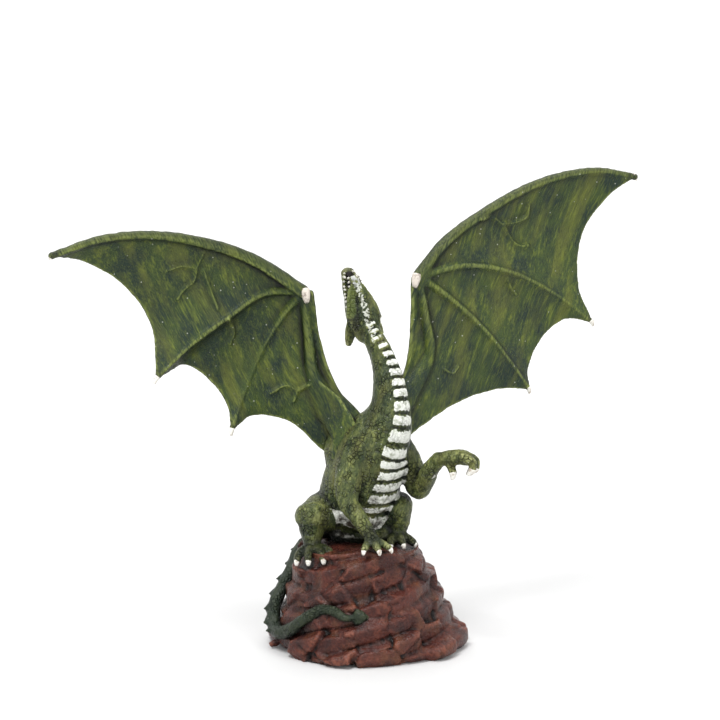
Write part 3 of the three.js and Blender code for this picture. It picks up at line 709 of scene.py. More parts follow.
store(dragon, "soiled", fade(share, 0.15, 0.3))
store(dragon, "calm", 0.6 * across_plate)
print("belly plates on", int((across_plate > 0.5).sum()), "points")

# %% [markdown]
# A figurine's paint follows its relief: a dark wash runs into hollows and a dry brush leaves colour on
# what stands out. Both also stand in for light: the hollows get painted shade and the crests a painted
# highlight. The difference between the skin and a relaxed copy of it measures just that.


# %% Measure hollows and ridges
def measure_relief(thing, rounds, full):
    points = read_points(thing)
    height = ((points - relax(thing, points, rounds)) * read_normals(thing)).sum(1) / full
    height = relax(thing, height[:, None], 1)[:, 0]
    # ridge carries the dry brush and a painted highlight, hollow carries the wash and painted shade
    store(thing, "ridge", np.clip(height, 0, 1))
    store(thing, "hollow", np.clip(-height, 0, 1))
    ridges, hollows = int((height > 0.3).sum()), int((height < -0.3).sum())
    print(thing.name, "has", ridges, "points on ridges and", hollows, "in hollows")


# %% [markdown]
# Deep places, such as under the belly or between the toes, are darkened as painted shade, where
# little light would reach. From each point a fan of rays is sent out, and the share that soon hits
# something says how deep the point lies. Faces that turn downwards get some painted shade as well.


# %% Measure deep places for painted shade
def measure_painted_shade(pieces, reach=11.0, rays=11):
    points = [read_points(piece) for piece in pieces]
    starts = np.cumsum([0] + [len(p) for p in points[:-1]])
    faces = [[i + s for i in f.vertices] for piece, s in zip(pieces, starts) for f in piece.data.polygons]
    tree = BVHTree.FromPolygons(np.vstack(points).tolist(), faces)
    i = np.arange(rays) + 0.5
    up, round_by = np.sqrt(1 - i / rays), np.pi * (1 + 5**0.5) * i
    flat = np.sqrt(1 - up**2)
    for piece, own in zip(pieces, points):
        normal = read_normals(piece)
        # painted shade on faces that turn downwards
        under = 0.22 * np.clip(-normal[:, 2], 0, 1)
        side = unit(np.cross(normal, np.where(np.abs(normal[:, 2:]) < 0.9, [[0, 0, 1.0]], [[1.0, 0, 0]])))
        other = np.cross(normal, side)
        origins = (own + normal * 0.4).tolist()
        deep = np.zeros(len(own))
        for k in range(rays):
            sideways = side * flat[k] * math.cos(round_by[k])
            ways = normal * up[k] + sideways + other * flat[k] * math.sin(round_by[k])
            for j, (origin, way) in enumerate(zip(origins, ways.tolist())):
                far = tree.ray_cast(origin, way, reach)[3]
                if far is not None:
                    deep[j] += 1 - far / reach
        # the deep mask is painted shade: it darkens deep places and undersides
        store(piece, "deep", relax(piece, (deep / rays + under)[:, None], 3)[:, 0])
        print(piece.name, "mean depth", round(float(deep.mean() / rays), 3))


# %% [markdown]
# Scales, pores and stone grain are too many to place by hand. A Geometry Nodes tree raises and lowers
# each point along its normal by a cell pattern and a soft noise. Its sizes are named inputs, so the
# same tree serves the hide, the wings and the rock. Both trees start with new_tree and end with
# end_tree, which makes the geometry real and gives it its material.


# %% A tree for surface relief
def new_tree(name, *inputs):
    tree = bpy.data.node_groups.new(name, "GeometryNodeTree")
    for label, kind, value in (("Geometry", "Geometry", None), *inputs):
        made = tree.interface.new_socket(label, in_out="INPUT", socket_type="NodeSocket" + kind)
        if value is not None:
            made.default_value = value
    tree.interface.new_socket("Geometry", in_out="OUTPUT", socket_type="NodeSocketGeometry")
    return tree, add(tree, "NodeGroupInput").outputs


def stored(tree, name, kind="FLOAT"):
    made = add(tree, "GeometryNodeInputNamedAttribute", data_type=kind)
    made.inputs["Name"].default_value = name
    return made.outputs[0]


def end_tree(tree, geometry, material):
    real = add(tree, "GeometryNodeRealizeInstances", geometry)
    coated = add(tree, "GeometryNodeSetMaterial", real.outputs[0])
    tree.links.new(material, coated.inputs["Material"])
    add(tree, "NodeGroupOutput", coated.outputs[0])
    return tree


def relief_tree():
    tree, given = new_tree(
        "surface_relief",
        ("Cell Size", "Float", 0.002),
        ("Cell Height", "Float", 0.0001),
        ("Noise Size", "Float", 0.006),
        ("Noise Height", "Float", 0.0003),
        ("Stretch", "Vector", (1, 1, 1)),
        ("Tilt", "Float", 0.0),
        ("Crack Depth", "Float", 0.0),
        ("Facet Height", "Float", 0.0),
        ("Material", "Material", None),
    )
    place = add(tree, "GeometryNodeInputPosition").outputs[0]
    turned = add(tree, "ShaderNodeVectorRotate", place, rotation_type="Y_AXIS")
    tree.links.new(given["Tilt"], turned.inputs["Angle"])
    spread = vector_node(tree, "MULTIPLY", turned.outputs[0], given["Stretch"])
    by_cell = scaled(tree, spread, math_node(tree, "DIVIDE", 1.0, given["Cell Size"]))
    by_noise = scaled(tree, spread, math_node(tree, "DIVIDE", 1.0, given["Noise Size"]))
    cells = voronoi(tree, by_cell, 1.0)
    edges = voronoi(tree, by_cell, 1.0, "DISTANCE_TO_EDGE")
    waves = add(tree, "ShaderNodeTexNoise", by_noise)
    waves.inputs["Scale"].default_value = 1.0
    waves.inputs["Detail"].default_value = 3.0
    wave = waves.outputs["Fac"]
    swell = times(tree, math_node(tree, "SUBTRACT", 0.5, cells["Distance"]), given["Cell Height"])
    rough = times(tree, math_node(tree, "SUBTRACT", wave, 0.5), given["Noise Height"])
    crack = add(tree, "ShaderNodeMapRange", edges["Distance"], 0.0, 0.08, 1.0, 0.0).outputs[0]
    cut = times(tree, times(tree, crack, ramp(tree, wave, 0.42, 0.6)), given["Crack Depth"])
    inside = vector_node(tree, "SUBTRACT", by_cell, cells["Position"])
    lean = vector_node(tree, "SUBTRACT", cells["Color"], (0.5, 0.5, 0.5))
    slope = add(tree, "ShaderNodeVectorMath", inside, lean, operation="DOT_PRODUCT").outputs["Value"]
    rise = add(tree, "ShaderNodeSeparateXYZ", lean).outputs[0]
    facet = math_node(tree, "ADD", times(tree, slope, 1.6), times(tree, rise, 0.3))
    total = math_node(tree, "SUBTRACT", math_node(tree, "ADD", swell, rough), cut)
    total = math_node(tree, "ADD", total, times(tree, facet, given["Facet Height"]))
    total = times(tree, total, math_node(tree, "SUBTRACT", 1.0, stored(tree, "calm")))
    moved = add(tree, "GeometryNodeSetPosition", given["Geometry"])
    offset = scaled(tree, add(tree, "GeometryNodeInputNormal").outputs[0], total)
    tree.links.new(offset, moved.inputs["Offset"])
    return end_tree(tree, moved.outputs[0], given["Material"])


RELIEF = relief_tree()


def run_tree(thing, tree, **sizes):
    work = thing.modifiers.new(tree.name, "NODES")
    work.node_group = tree
    for item in tree.interface.items_tree:
        key = item.name.replace(" ", "_").lower()
        if item.in_out == "INPUT" and key in sizes:
            work[item.identifier] = sizes[key]
    bake_modifiers(thing)


# %% [markdown]
# Three painted finishes share one recipe: a dark ground, a mid tone in patches, long brush strokes, a
# warm glaze, a light dry brush on what stands out with a painted highlight on the crests, and a
# near-black wash in the hollows that is also painted shade. Each coat is a mask, a strength and a
# paint. Only the colours and the brush marks differ.


# %% The painted finish
def attribute(tree, name):
    return add(tree, "ShaderNodeAttribute", attribute_name=name).outputs["Fac"]


def blend(tree, share, under, over):
    mixed = add(tree, "ShaderNodeMix", data_type="RGBA")
    for socket, value in zip((mixed.inputs[0], mixed.inputs[6], mixed.inputs[7]), (share, under, over)):
        if isinstance(value, bpy.types.NodeSocket):
            tree.links.new(value, socket)
        else:
            socket.default_value = value
    return mixed.outputs[2]


def lay(tree, colour, *coats):
    for mask, strength, paint in coats:
        colour = blend(tree, mask if strength == 1 else times(tree, mask, strength), colour, paint)
    return colour


def noise(tree, place, size, detail=3.0, long=(1, 1, 1), turn=(0, 0, 0)):
    mapped = add(tree, "ShaderNodeMapping", place, None, turn, long, vector_type="TEXTURE")
    made = add(tree, "ShaderNodeTexNoise", mapped.outputs[0])
    made.inputs["Scale"].default_value = 1 / (size * MM)
    made.inputs["Detail"].default_value = detail
    return made.outputs["Fac"]


WARM = chart("5a4420")


def painted(name, colours, stroke, long, turn, roughness, brush=0.8, scale=0.0,
            warm=0.5, dry_from=0.15, dry_by=0.75):
    ground, tone, light, wash_and_shade, crest_highlight = (chart(c) for c in colours)
    made = bpy.data.materials.new(name)
    made.use_nodes = True
    tree = made.node_tree
    place = object_place(tree)

    def marks(size, detail=4):
        return noise(tree, place, size, detail, long, turn)

    patches, strokes, fine = noise(tree, place, 10, 4), marks(stroke), marks(stroke * 0.4)
    ridge, hollow = attribute(tree, "ridge"), attribute(tree, "hollow")
    brushed = times(tree, ramp(tree, strokes, 0.5, 0.64), ramp(tree, fine, 0.36, 0.58))
    colour = lay(
        tree,
        blend(tree, ramp(tree, patches, 0.4, 0.62), ground, tone),
        (times(tree, brushed, ramp(tree, patches, 0.3, 0.55)), brush, light),
        (ramp(tree, marks(6), 0.5, 0.68), 0.45, blend(tree, warm, light, WARM)),
        (ramp(tree, marks(stroke * 0.22, 3), 0.52, 0.7), 0.35, light),
        (ramp(tree, marks(stroke * 0.3, 3), 0.56, 0.7), 0.45, wash_and_shade),
        (times(tree, ramp(tree, ridge, dry_from, 0.8), ramp(tree, fine, 0.3, 0.55)), dry_by, light),
        # a lighter dry brush on the crests that is also a painted highlight
        (times(tree, ramp(tree, ridge, 0.4, 0.95), ramp(tree, fine, 0.4, 0.62)), 0.7, crest_highlight),
    )
    height = math_node(tree, "ADD", noise(tree, place, 0.5, 3), times(tree, fine, 1.5))
    if scale:
        edge = voronoi(tree, place, 1 / (scale * MM), "DISTANCE_TO_EDGE")["Distance"]
        gap = math_node(tree, "SUBTRACT", 1.0, ramp(tree, edge, 0.0, 0.16))
        gap = times(tree, gap, ramp(tree, noise(tree, place, 4, 3), 0.4, 0.6))
        colour = lay(tree, colour, (gap, 0.75, wash_and_shade))
        height = math_node(tree, "SUBTRACT", height, times(tree, gap, 2.0))
    # the wash darkens the hollows, which is also painted shade
    colour = blend(tree, ramp(tree, hollow, 0.1, 0.8), colour, wash_and_shade)
    bump = add(tree, "ShaderNodeBump")
    bump.inputs["Distance"].default_value = 0.3 * MM
    bump.inputs["Strength"].default_value = 0.9
    tree.links.new(height, bump.inputs["Height"])
    shader = tree.nodes["Principled BSDF"]
    shader.inputs["Specular IOR Level"].default_value = 0.28
    tree.links.new(bump.outputs[0], shader.inputs["Normal"])
    gloss = add(tree, "ShaderNodeMapRange", fine, 0.3, 0.7, roughness - 0.1, roughness + 0.12)
    tree.links.new(gloss.outputs[0], shader.inputs["Roughness"])
    return made, tree, colour


# Painted shade: the colour darkens towards the wash colour in deep places and on undersides.
def shade_deep_places(made, colour, wash_and_shade, strength=0.9):
    tree = made.node_tree
    deep = ramp(tree, attribute(tree, "deep"), 0.2, 0.5)
    repaint(made, lay(tree, colour, (deep, strength, wash_and_shade)))


def repaint(made, colour):
    made.node_tree.links.new(colour, made.node_tree.nodes["Principled BSDF"].inputs["Base Color"])


# %% [markdown]
# The hide adds what only the dragon has: off-white belly plates with worn edges, a speckled throat,
# a pinkish chin and the dark inside of the mouth. Each is a mask stored on the points, broken up with
# noise so that it looks brushed on.

# %% Hide
# A near-black, used for painted shade and for the dark paint at the wing tips.
BLACK_WASH_AND_SHADE = chart("10150f")
hide, tree, colour = painted(
    "painted_hide", ("26331f", "424d28", "868c4e", "0a0e08", "b0b080"),
    stroke=1.8, long=(1, 1, 3), turn=(0, 0.25, 0), roughness=0.36, brush=0.75, scale=1.5,
)
place = object_place(tree)


def dotted(name, size, detail, low, high):
    mask = math_node(tree, "ADD", attribute(tree, name), noise(tree, place, size, detail))
    return ramp(tree, mask, low, high)


ragged = times(tree, math_node(tree, "SUBTRACT", noise(tree, place, 1.1, 4, (1, 1, 1.6)), 0.5), 2.0)
plate = ramp(tree, math_node(tree, "ADD", attribute(tree, "belly"), ragged), 0.42, 0.6)
dirt = times(tree, attribute(tree, "soiled"), ramp(tree, noise(tree, place, 2.6, 5), 0.4, 0.62))
bone = blend(tree, ramp(tree, noise(tree, place, 1.5, 4), 0.5, 0.7), chart("e2e4dc"), chart("a4a998"))
colour = lay(
    tree,
    colour,
    # painted shade low down by the seat and round the planted hand
    (attribute(tree, "low"), 0.74, BLACK_WASH_AND_SHADE),
    (attribute(tree, "tail"), 0.7, chart("1a281d")),
    # painted highlight on the raised cheek lobe
    (attribute(tree, "lobe"), 0.6, chart("59652f")),
    # painted shade in the crease round the cheek lobe and in a recess by the head
    (attribute(tree, "recess_shade"), 0.8, BLACK_WASH_AND_SHADE),
    (plate, 1, blend(tree, dirt, bone, chart("3c362b"))),
    (dotted("throat", 0.9, 2, 1.48, 1.56), 1, chart("c6c9bd")),
    (dotted("chin", 1.2, 3, 1.42, 1.58), 1, chart("b6b8b6")),
    (ramp(tree, attribute(tree, "mouth"), 0.2, 0.7), 1, chart("120d0c")),
    (dotted("dab", 1.0, 3, 1.15, 1.3), 1, chart("c8c8c0")),
)
# painted shade in the hide's deep places
shade_deep_places(hide, colour, BLACK_WASH_AND_SHADE)
print("hide mixed:", len(tree.nodes), "nodes")

# %% [markdown]
# The masks are measured on the points. Along, under and right are the head's own directions, so the
# mouth, the chin and the throat are plain ranges of them. The rest are distances from a place or a path.


# %% Masks for the hide
def off_place(points, place):
    return np.linalg.norm(points - place, axis=1)


def off_path(points, path):
    return off_place(points, curve(path, nearest_share(points, path)))


points = read_points(dragon)
a, u, r = ((points - HEAD_ROOT) @ way for way in (snout_way, chin_way, right_way))
half_jaw = np.interp(a, [3, 8, 14, 18.5, 22], [3.4, 3.8, 3, 2.3, 1.7])
between = step(u, -1, -0.3) * fade(u, 2, 2.6) * step(a, 10.5, 12)
between *= fade(np.abs(r), half_jaw * 0.8, half_jaw * 1.05)
snout = step(a, 21, 24) * fade(u, -1, 0)
store(dragon, "mouth", np.maximum(between, 0.5 * snout))
chin = step(a, 16.5, 18.5) * fade(a, 22, 23.5) * step(u, 2.6, 3.6) * fade(np.abs(r + 0.3), 1.2, 2.4)
store(dragon, "chin", chin)
throat = step(a, -6, -2) * fade(a, 19, 21) * step(u, 0.8, 2.2) * fade(np.abs(r + 0.5), 0.9, 2.7)
store(dragon, "throat", throat)
# painted highlight: the cheek lobe is painted lighter olive
off_lobe = off_path(points, lobe)
store(dragon, "lobe", fade(off_lobe, 1.9, 2.5))
# painted shade: a ring round the cheek lobe and a recess by the head
rim = fade(off_lobe, 2.8, 3.2) * step(off_lobe, 2.1, 2.4)
cavity = np.hypot((points[:, 0] + 3.6) / 1.3, (points[:, 2] - SEAT - 80) / 3.4)
store(dragon, "recess_shade", np.maximum(rim, fade(cavity, 0.7, 1.3) * fade(points[:, 1], 1, 4)))
# painted shade: darker low down near the seat and round the planted hand
shade_near_hand = fade(off_place(points, planted_wrist), 3, 6.5)
store(dragon, "low", np.maximum(fade(points[:, 2], SEAT + 1, SEAT + 6), shade_near_hand))
elbow_dab = posed(24.6, -9.4, 25.5)
store(dragon, "dab", fade(off_place(points, elbow_dab), 1, 3))
on_tail = fade(off_path(points, tail_points), 4.5, 5.5)
store(dragon, "tail", on_tail * step(nearest_share(points, tail_points), 0.16, 0.26))
run_tree(dragon, RELIEF, cell_size=6 * MM, cell_height=0.0, noise_size=4.5 * MM,
         noise_height=0.9 * MM, stretch=(1, 1, 0.35))
measure_relief(dragon, 14, 0.3)
run_tree(dragon, RELIEF, cell_size=1.6 * MM, cell_height=0.26 * MM, noise_size=2.4 * MM,
         noise_height=0.3 * MM, stretch=(1, 1, 0.8), material=hide)
print("hide painted,", len(dragon.data.vertices), "points")

# %% [markdown]
# Each wing is a fan. Four ribs leave the wrist, and between them the skin sags like wet cloth. A
# point of the skin is a mix of two ribs, pulled in at the outer edge so that the rim is scalloped.

# %% The two wings' ribs and rims
def run(*places):
    return [posed(*place) for place in places]


RIGHT_WING = dict(
    ribs=[
        run((-22.4, -4, 92.3), (-40.2, -10, 104.4), (-57.2, -18, 111), (-73.9, -26, 114.1),
         (-90, -34, 113.4), (-105.4, -40, 108.6)),
        run((-22.4, -4, 92.3), (-36, -6, 91.8), (-48.7, -13, 84.2), (-61.2, -19, 75.3),
         (-72.7, -25, 64.4)),
        run((-22.4, -4, 92.3), (-30.3, -2, 82.7), (-37.4, -3, 71.1), (-43.7, -6, 56.1),
         (-47.8, -10, 43.2)),
        run((-19.6, -3.4, 91.5), (-17.3, 1, 73.9), (-12.3, 3, 58.4), (-5, 3, 46),
         (-2, 5, 36), (-5, 6, 26)),
    ],
    rims=[
        run((-97.5, -34, 106.6), (-84, -26.5, 97.5), (-74.5, -21, 82.5)),
        run((-63.9, -17, 68), (-54.4, -11, 60.4), (-49, -9, 51.4)),
        run((-41, -5, 47.6), (-27.4, 1, 44.2), (-16.5, 5, 33.6)),
    ],
    arm=run((-3, 1, 41), (-11, 2.4, 50.5), (-18.6, 2, 60.4), (-20.6, -0.6, 76),
         (-22.2, -3.6, 91.6)),
    web=stations(posed, [(-9.2, -2.8, 31, 4, 1), (-7.4, -3.4, 39.5, 5.6, 1.3),
                         (-13.2, 1, 49.4, 6.2, 1.3), (-20.6, 1.9, 58, 4.2, 0.9)]),
    outward=-1,
)
LEFT_WING = dict(
    ribs=[
        run((18.8, 12, 95.7), (28, 16, 107), (43.2, 24, 117.6), (64, 33, 127.6),
         (84.4, 40, 131.4), (99.8, 44, 129)),
        run((18.8, 12, 95.7), (35.1, 19, 98.7), (51.9, 27, 95.7), (69.2, 35, 86.7),
         (84.5, 41, 75)),
        run((18.8, 12, 95.7), (30.4, 17, 86.9), (42.7, 22, 75), (53, 26, 62),
         (60.4, 30, 51.4)),
        run((17, 11.4, 95), (16.7, 13, 78.4), (15.4, 12.6, 64), (11, 9.6, 50),
         (8, 8, 38), (6, 7.5, 30)),
    ],
    rims=[
        run((90.4, 42, 122.5), (80.4, 41, 108), (79, 40, 89)),
        run((74.5, 38, 76.5), (64.6, 34, 69.1), (59.8, 30.6, 58.2)),
        run((49.4, 26, 52), (34, 18.6, 48.4), (20.6, 12, 41)),
    ],
    arm=run((8, 7, 43), (15.4, 11.5, 54), (22.6, 15.4, 66.7), (21, 14, 82),
         (18.8, 12, 95)),
    web=[],
    outward=1,
)
MEMBRANE = 1.5
BILLOW = 3.2
WING_VOXEL = 0.45
WING_BONE = 1.75
WING_EDGE_BONE = 2.3
BONE_TAPER = 0.45
ARM_WIDTHS = [5, 4.4, 2.6, 1.9, 1.7]
ARM_DEPTHS = [2.6, 2.4, 2.1, 1.8, 1.7]
FLAP_RADIUS = 1.1
BEAD_RADIUS = 1.05  # a second, thinner bead runs under the leading edge
BEAD_OFF = np.array([0, -1.2, -1.5])
WEB_FACING = np.array([-0.31, -0.91, -0.26])  # the web leans from the arm back to the skin
VEIN_HEIGHT = 0.75
VEIN_WIDTH = 0.7
RIGHT_VEINS = [
    [(-56.7, 106.8), (-58.8, 102), (-59.9, 97.5), (-64, 93.7), (-65.4, 91.3)],
    [(-59, 101.8), (-63.5, 102.8), (-69, 101.4)],
    [(-56.5, 100.7), (-54.6, 94.8), (-51.9, 87.2)],
    [(-20.4, 57.9), (-24.7, 56.1), (-28.6, 57.9), (-34.2, 55.4)],
    [(-24.7, 56), (-26.1, 52)],
    [(-48, 83.7), (-46.7, 78.1), (-48.1, 74.2)],
]
LEFT_VEINS = [
    [(41.9, 115.2), (45.5, 115.9), (49.9, 112.3), (54, 106), (56.6, 104.6), (59.5, 104.6)],
    [(49.3, 113.2), (54.1, 113.2), (58.8, 115.4), (59.5, 119.8)],
    [(51.8, 92.4), (53.2, 89.1), (55.1, 86.9)],
    [(28.4, 60.9), (31.4, 59.4), (33.5, 61.6)],
]


# %% [markdown]
# The fan is a grid of points with a wall's thickness. Fingers, arm and leading edge are rolls pressed
# into it, and thin wandering veins are raised afterwards where the photograph shows them.


# %% Make a wing
def fan(plan, across=22, out=60, start=0.05):
    ends = [np.asarray(rib[-1]) for rib in plan["ribs"]]
    u = np.linspace(start, 1, out + 1)
    columns = []
    for i, rim in enumerate(plan["rims"]):
        v = np.linspace(0, 1, across + 1)[1 if i else 0 :]
        one, two = curve(plan["ribs"][i], u), curve(plan["ribs"][i + 1], u)
        edge = curve([ends[i], *rim, ends[i + 1]], v)
        chord = ends[i] + (ends[i + 1] - ends[i]) * v[:, None]
        grid = one[:, None] + (two - one)[:, None] * v[None, :, None]
        grid = grid + (edge - chord)[None] * (u**2)[:, None, None]
        grid[..., 1] += BILLOW * np.sin(np.pi * v)[None] * (u * (1 - 0.5 * u))[:, None]
        columns.append(grid)
    return np.concatenate(columns, 1)


def sheet(grid, thickness):
    rows, cols = grid.shape[:2]
    normal = unit(np.cross(np.gradient(grid, axis=0), np.gradient(grid, axis=1)))
    front, back = grid + normal * thickness / 2, grid - normal * thickness / 2
    points = np.vstack([front.reshape(-1, 3), back.reshape(-1, 3)])
    n = rows * cols
    r, c = np.meshgrid(np.arange(rows - 1), np.arange(cols - 1), indexing="ij")
    a = (r * cols + c).ravel()
    faces = np.stack([a, a + cols, a + cols + 1, a + 1], -1).tolist()
    faces += (np.stack([a, a + 1, a + cols + 1, a + cols], -1) + n).tolist()
    rim = list(range(cols)) + [i * cols + cols - 1 for i in range(1, rows)]
    rim += [(rows - 1) * cols + i for i in range(cols - 2, -1, -1)]
    rim += [i * cols for i in range(rows - 2, 0, -1)]
    faces += [(p, q, q + n, p + n) for p, q in zip(rim, rim[1:] + rim[:1])]
    return points, faces


def raise_veins(wing, veins):
    points, normals = read_points(wing), read_normals(wing)
    flat = points[:, [0, 2]] - [0, SEAT]
    lift = np.zeros(len(points))
    for vein in veins:
        line = curve([(x, 0, z) for x, z in vein], np.linspace(0, 1, 60))[:, [0, 2]]
        gap = np.sqrt(((flat[:, None] - line[None]) ** 2).sum(-1).min(1))
        lift = np.maximum(lift, np.exp(-((gap / VEIN_WIDTH) ** 2)))
    lift *= step(-normals[:, 1], 0.1, 0.4)
    write_points(wing, points + normals * (VEIN_HEIGHT * lift)[:, None])
    print(wing.name, len(veins), "veins raised")


def make_wing(name, plan, veins):
    edge, second, third, flap = plan["ribs"]
    shapes = [sheet(fan(plan), MEMBRANE)]
    for rib, root, steps in ((edge, WING_EDGE_BONE, 60), (second, WING_BONE, 40), (third, WING_BONE, 40)):
        thin = [root * (1 - BONE_TAPER * i / (len(rib) - 1)) for i in range(len(rib))]
        shapes.append(roll([(p, s, s) for p, s in zip(rib, thin)], viewer, 20, steps))
    shrink = [1 - 0.7 * i / (len(edge) - 1) for i in range(len(edge))]
    line = [(p + BEAD_OFF * k, BEAD_RADIUS * k, BEAD_RADIUS * k) for p, k in zip(edge, shrink)]
    shapes.append(roll(line, viewer, 14, 60))
    shapes.append(roll(list(zip(plan["arm"], ARM_WIDTHS, ARM_DEPTHS)), viewer, 24, 44))
    shapes.append(roll([(p, FLAP_RADIUS, FLAP_RADIUS) for p in flap], viewer, 14, 40))
    if plan["web"]:
        shapes.append(roll(plan["web"], WEB_FACING, 24, 24))
    thumb = edge[0] + np.array([-plan["outward"] * 0.6, -0.8, 0.4])
    thumb_spots.append((thumb, np.array([-plan["outward"] * 1.2, -2.2, -3.6]), 1.8, -upward))
    for rib in (edge, second, third):
        way = unit(rib[-1] - rib[-2]) * 1.6 - upward * 0.6
        claw_spots.append((rib[-1] - way * 0.5, way * 1.3, 1.05, -upward))
    wing = press_together(name, shapes, WING_VOXEL, 2)
    raise_veins(wing, veins)
    return wing


right_wing = make_wing("right_wing_skin", RIGHT_WING, RIGHT_VEINS)
left_wing = make_wing("left_wing_skin", LEFT_WING, LEFT_VEINS)

# %% [markdown]
# Long strokes of olive over a slate ground run down each wing. On the viewer's left they lean one way
# and on the right the other, so each wing has its own turn of the same finish. A few cells of a random
# pattern hold a pale fleck, as where a loaded brush spat.

# %% Wing finish
WING_PAINT = ("1b2c22", "34441f", "6f7a2c", "0a0f09", "929c5c")
TIP_REACH = 5.0  # how far the dark paint runs up from a finger's tip


def flecks(tree, place, size):
    spots = voronoi(tree, place, 1 / (size * MM))
    few = ramp(tree, add(tree, "ShaderNodeSeparateColor", spots["Color"]).outputs[0], 0.7, 0.75)
    return times(tree, few, ramp(tree, spots["Distance"], 0.13, 0.07))


for wing, plan, lean in ((right_wing, RIGHT_WING, -0.45), (left_wing, LEFT_WING, 0.35)):
    coat, tree, colour = painted(
        wing.name + "_paint", WING_PAINT, stroke=1.4, long=(1, 1, 9), turn=(0, lean, 0),
        roughness=0.36, brush=0.62, warm=0.3, dry_from=0.4, dry_by=0.5,
    )
    place = object_place(tree)
    ends = times(tree, attribute(tree, "tips"), ramp(tree, noise(tree, place, 2, 4), 0.35, 0.6))
    colour = lay(
        tree,
        colour,
        # painted shade on sides that turn away and on top of the leading edge
        (attribute(tree, "side_shade"), 0.75, chart("131c12")),
        (ends, 0.85, BLACK_WASH_AND_SHADE),
        (flecks(tree, place, 2.2), 0.6, chart("c8cabd")),
    )
    # painted shade in the wing's deep places, at less strength
    shade_deep_places(coat, colour, BLACK_WASH_AND_SHADE, 0.45)
    points = read_points(wing)
    normals = read_normals(wing)
    # painted shade: darker where the skin turns sideways, and on top of the leading edge
    upper = fade(off_path(points, plan["ribs"][0]), 2.6, 3.4) * step(normals[:, 2], -0.15, 0.35)
    store(wing, "side_shade", np.maximum(fade(np.abs(normals[:, 1]), 0.45, 0.8), 0.75 * upper))
    near = np.min([off_place(points, rib[-1]) for rib in plan["ribs"][:3]], 0)
    store(wing, "tips", fade(near, 1, TIP_REACH))
    measure_relief(wing, 50, 0.6)
    run_tree(wing, RELIEF, cell_size=3 * MM, cell_height=0.1 * MM, noise_size=3 * MM,
             noise_height=0.75 * MM, stretch=(1, 1, 0.22), tilt=-lean, material=coat)
print("wings painted")

# %% [markdown]
# The rock is the rule from above, swept round and capped, with its blocks and cracks raised by the
# relief tree. The beds tilt up to the viewer's right, so the pattern is tilted too.


# %% Rock
SEAM_DEPTH = 1.4  # the dark crack under each bed
SEAM_HEIGHT = 0.07  # the crack's half height, as a share of a bed
ROCK_VOXEL = 0.55
SEAT_SMOOTH = 0.75  # how much of the relief the seat's own dip and boss replace


def make_rock(around=300, rows=130, rings=26):
    angle = np.linspace(0, 2 * np.pi, around, endpoint=False)
    foot = 2.2 / SEAT
    heights = np.concatenate([[0.0], np.linspace(foot, 1, rows)])
    side_rings = np.array([rock_side(angle, h) for h in heights])
    for ring, h in zip(side_rings, heights):
        run = bed_run(angle, h)
        seam = np.exp(-(((run - np.round(run)) / SEAM_HEIGHT) ** 2))
        bed = np.round(run)
        patchy = step(np.sin(5 * angle + 2.3 * bed) + 0.6 * np.sin(11 * angle + bed), -0.9, 0.3)
        ring[:, :2] -= unit(ring[:, :2]) * (SEAM_DEPTH * seam * patchy)[:, None]
    side_rings[0] *= np.array([0.93, 0.93, 0])
    top = []
    middle = np.array([-ROCK_LEAN, 0, 0])
    rim = side_rings[-1]
    for spread in np.linspace(1, 0.02, rings):
        ring = middle + (rim - middle) * np.array([spread, spread, 1])
        across, deep = np.cos(angle) * spread, np.sin(angle) * spread
        drop = SEAT_DROP * np.maximum(step(np.abs(across), 0.45, 1), step(deep, 0.2, 1))
        boss = BOSS_RISE * np.exp(-(((across - 0.15) / 0.4) ** 2) - ((deep + 0.8) / 0.35) ** 2)
        ring[:, 2] -= (drop + 0.2 * np.sin(5 * across + 0.9) * np.cos(4 * deep)) * (1 - spread**12) - boss
        top.append(ring)
    floor_rings = [side_rings[0] * np.array([s, s, 0]) for s in (0.03, 0.5)]
    rings_all = np.array([*floor_rings, *side_rings, *top])
    points, faces = closed_rings(rings_all, np.zeros(3), rings_all[-1].mean(0))
    return make_object("rock", points, faces)


rock = make_rock()
stone, tree, colour = painted(
    "painted_rock", ("351612", "4c241c", "6c3a2b", "0f0807", "7e4c3b"),
    stroke=2.6, long=(1, 1, 1), turn=(0, 0.2, 0), roughness=0.3, brush=0.7,
)
slate = ramp(tree, noise(tree, object_place(tree), 7, 4), 0.52, 0.66)
# painted shade in the rock's deep places; the slate patches are the stone's own tone
shade_deep_places(stone, lay(tree, colour, (slate, 0.6, chart("1f1517"))), chart("0d0909"), 0.7)
voxel_wrap(rock, ROCK_VOXEL)
store(rock, "calm", SEAT_SMOOTH * step(read_points(rock)[:, 2], SEAT - 5, SEAT - 2))
run_tree(rock, RELIEF, cell_size=12 * MM, cell_height=0.0, facet_height=2.3 * MM, noise_size=4.2 * MM,
         noise_height=0.6 * MM, stretch=(1, 1, 1), tilt=-0.24, crack_depth=0.9 * MM, material=stone)
points = relax(rock, read_points(rock), 1)
points[:, 2] = np.maximum(points[:, 2], 0)
write_points(rock, points)
measure_relief(rock, 14, 0.62)
measure_painted_shade([dragon, rock, right_wing, left_wing])
print("rock", len(rock.data.polygons), "faces")

# %% [markdown]
# Claws and teeth are one cone repeated. Points carry the direction, length and girth of each, and a
# Geometry Nodes tree sets a hooked cone on every point, turned to its direction.


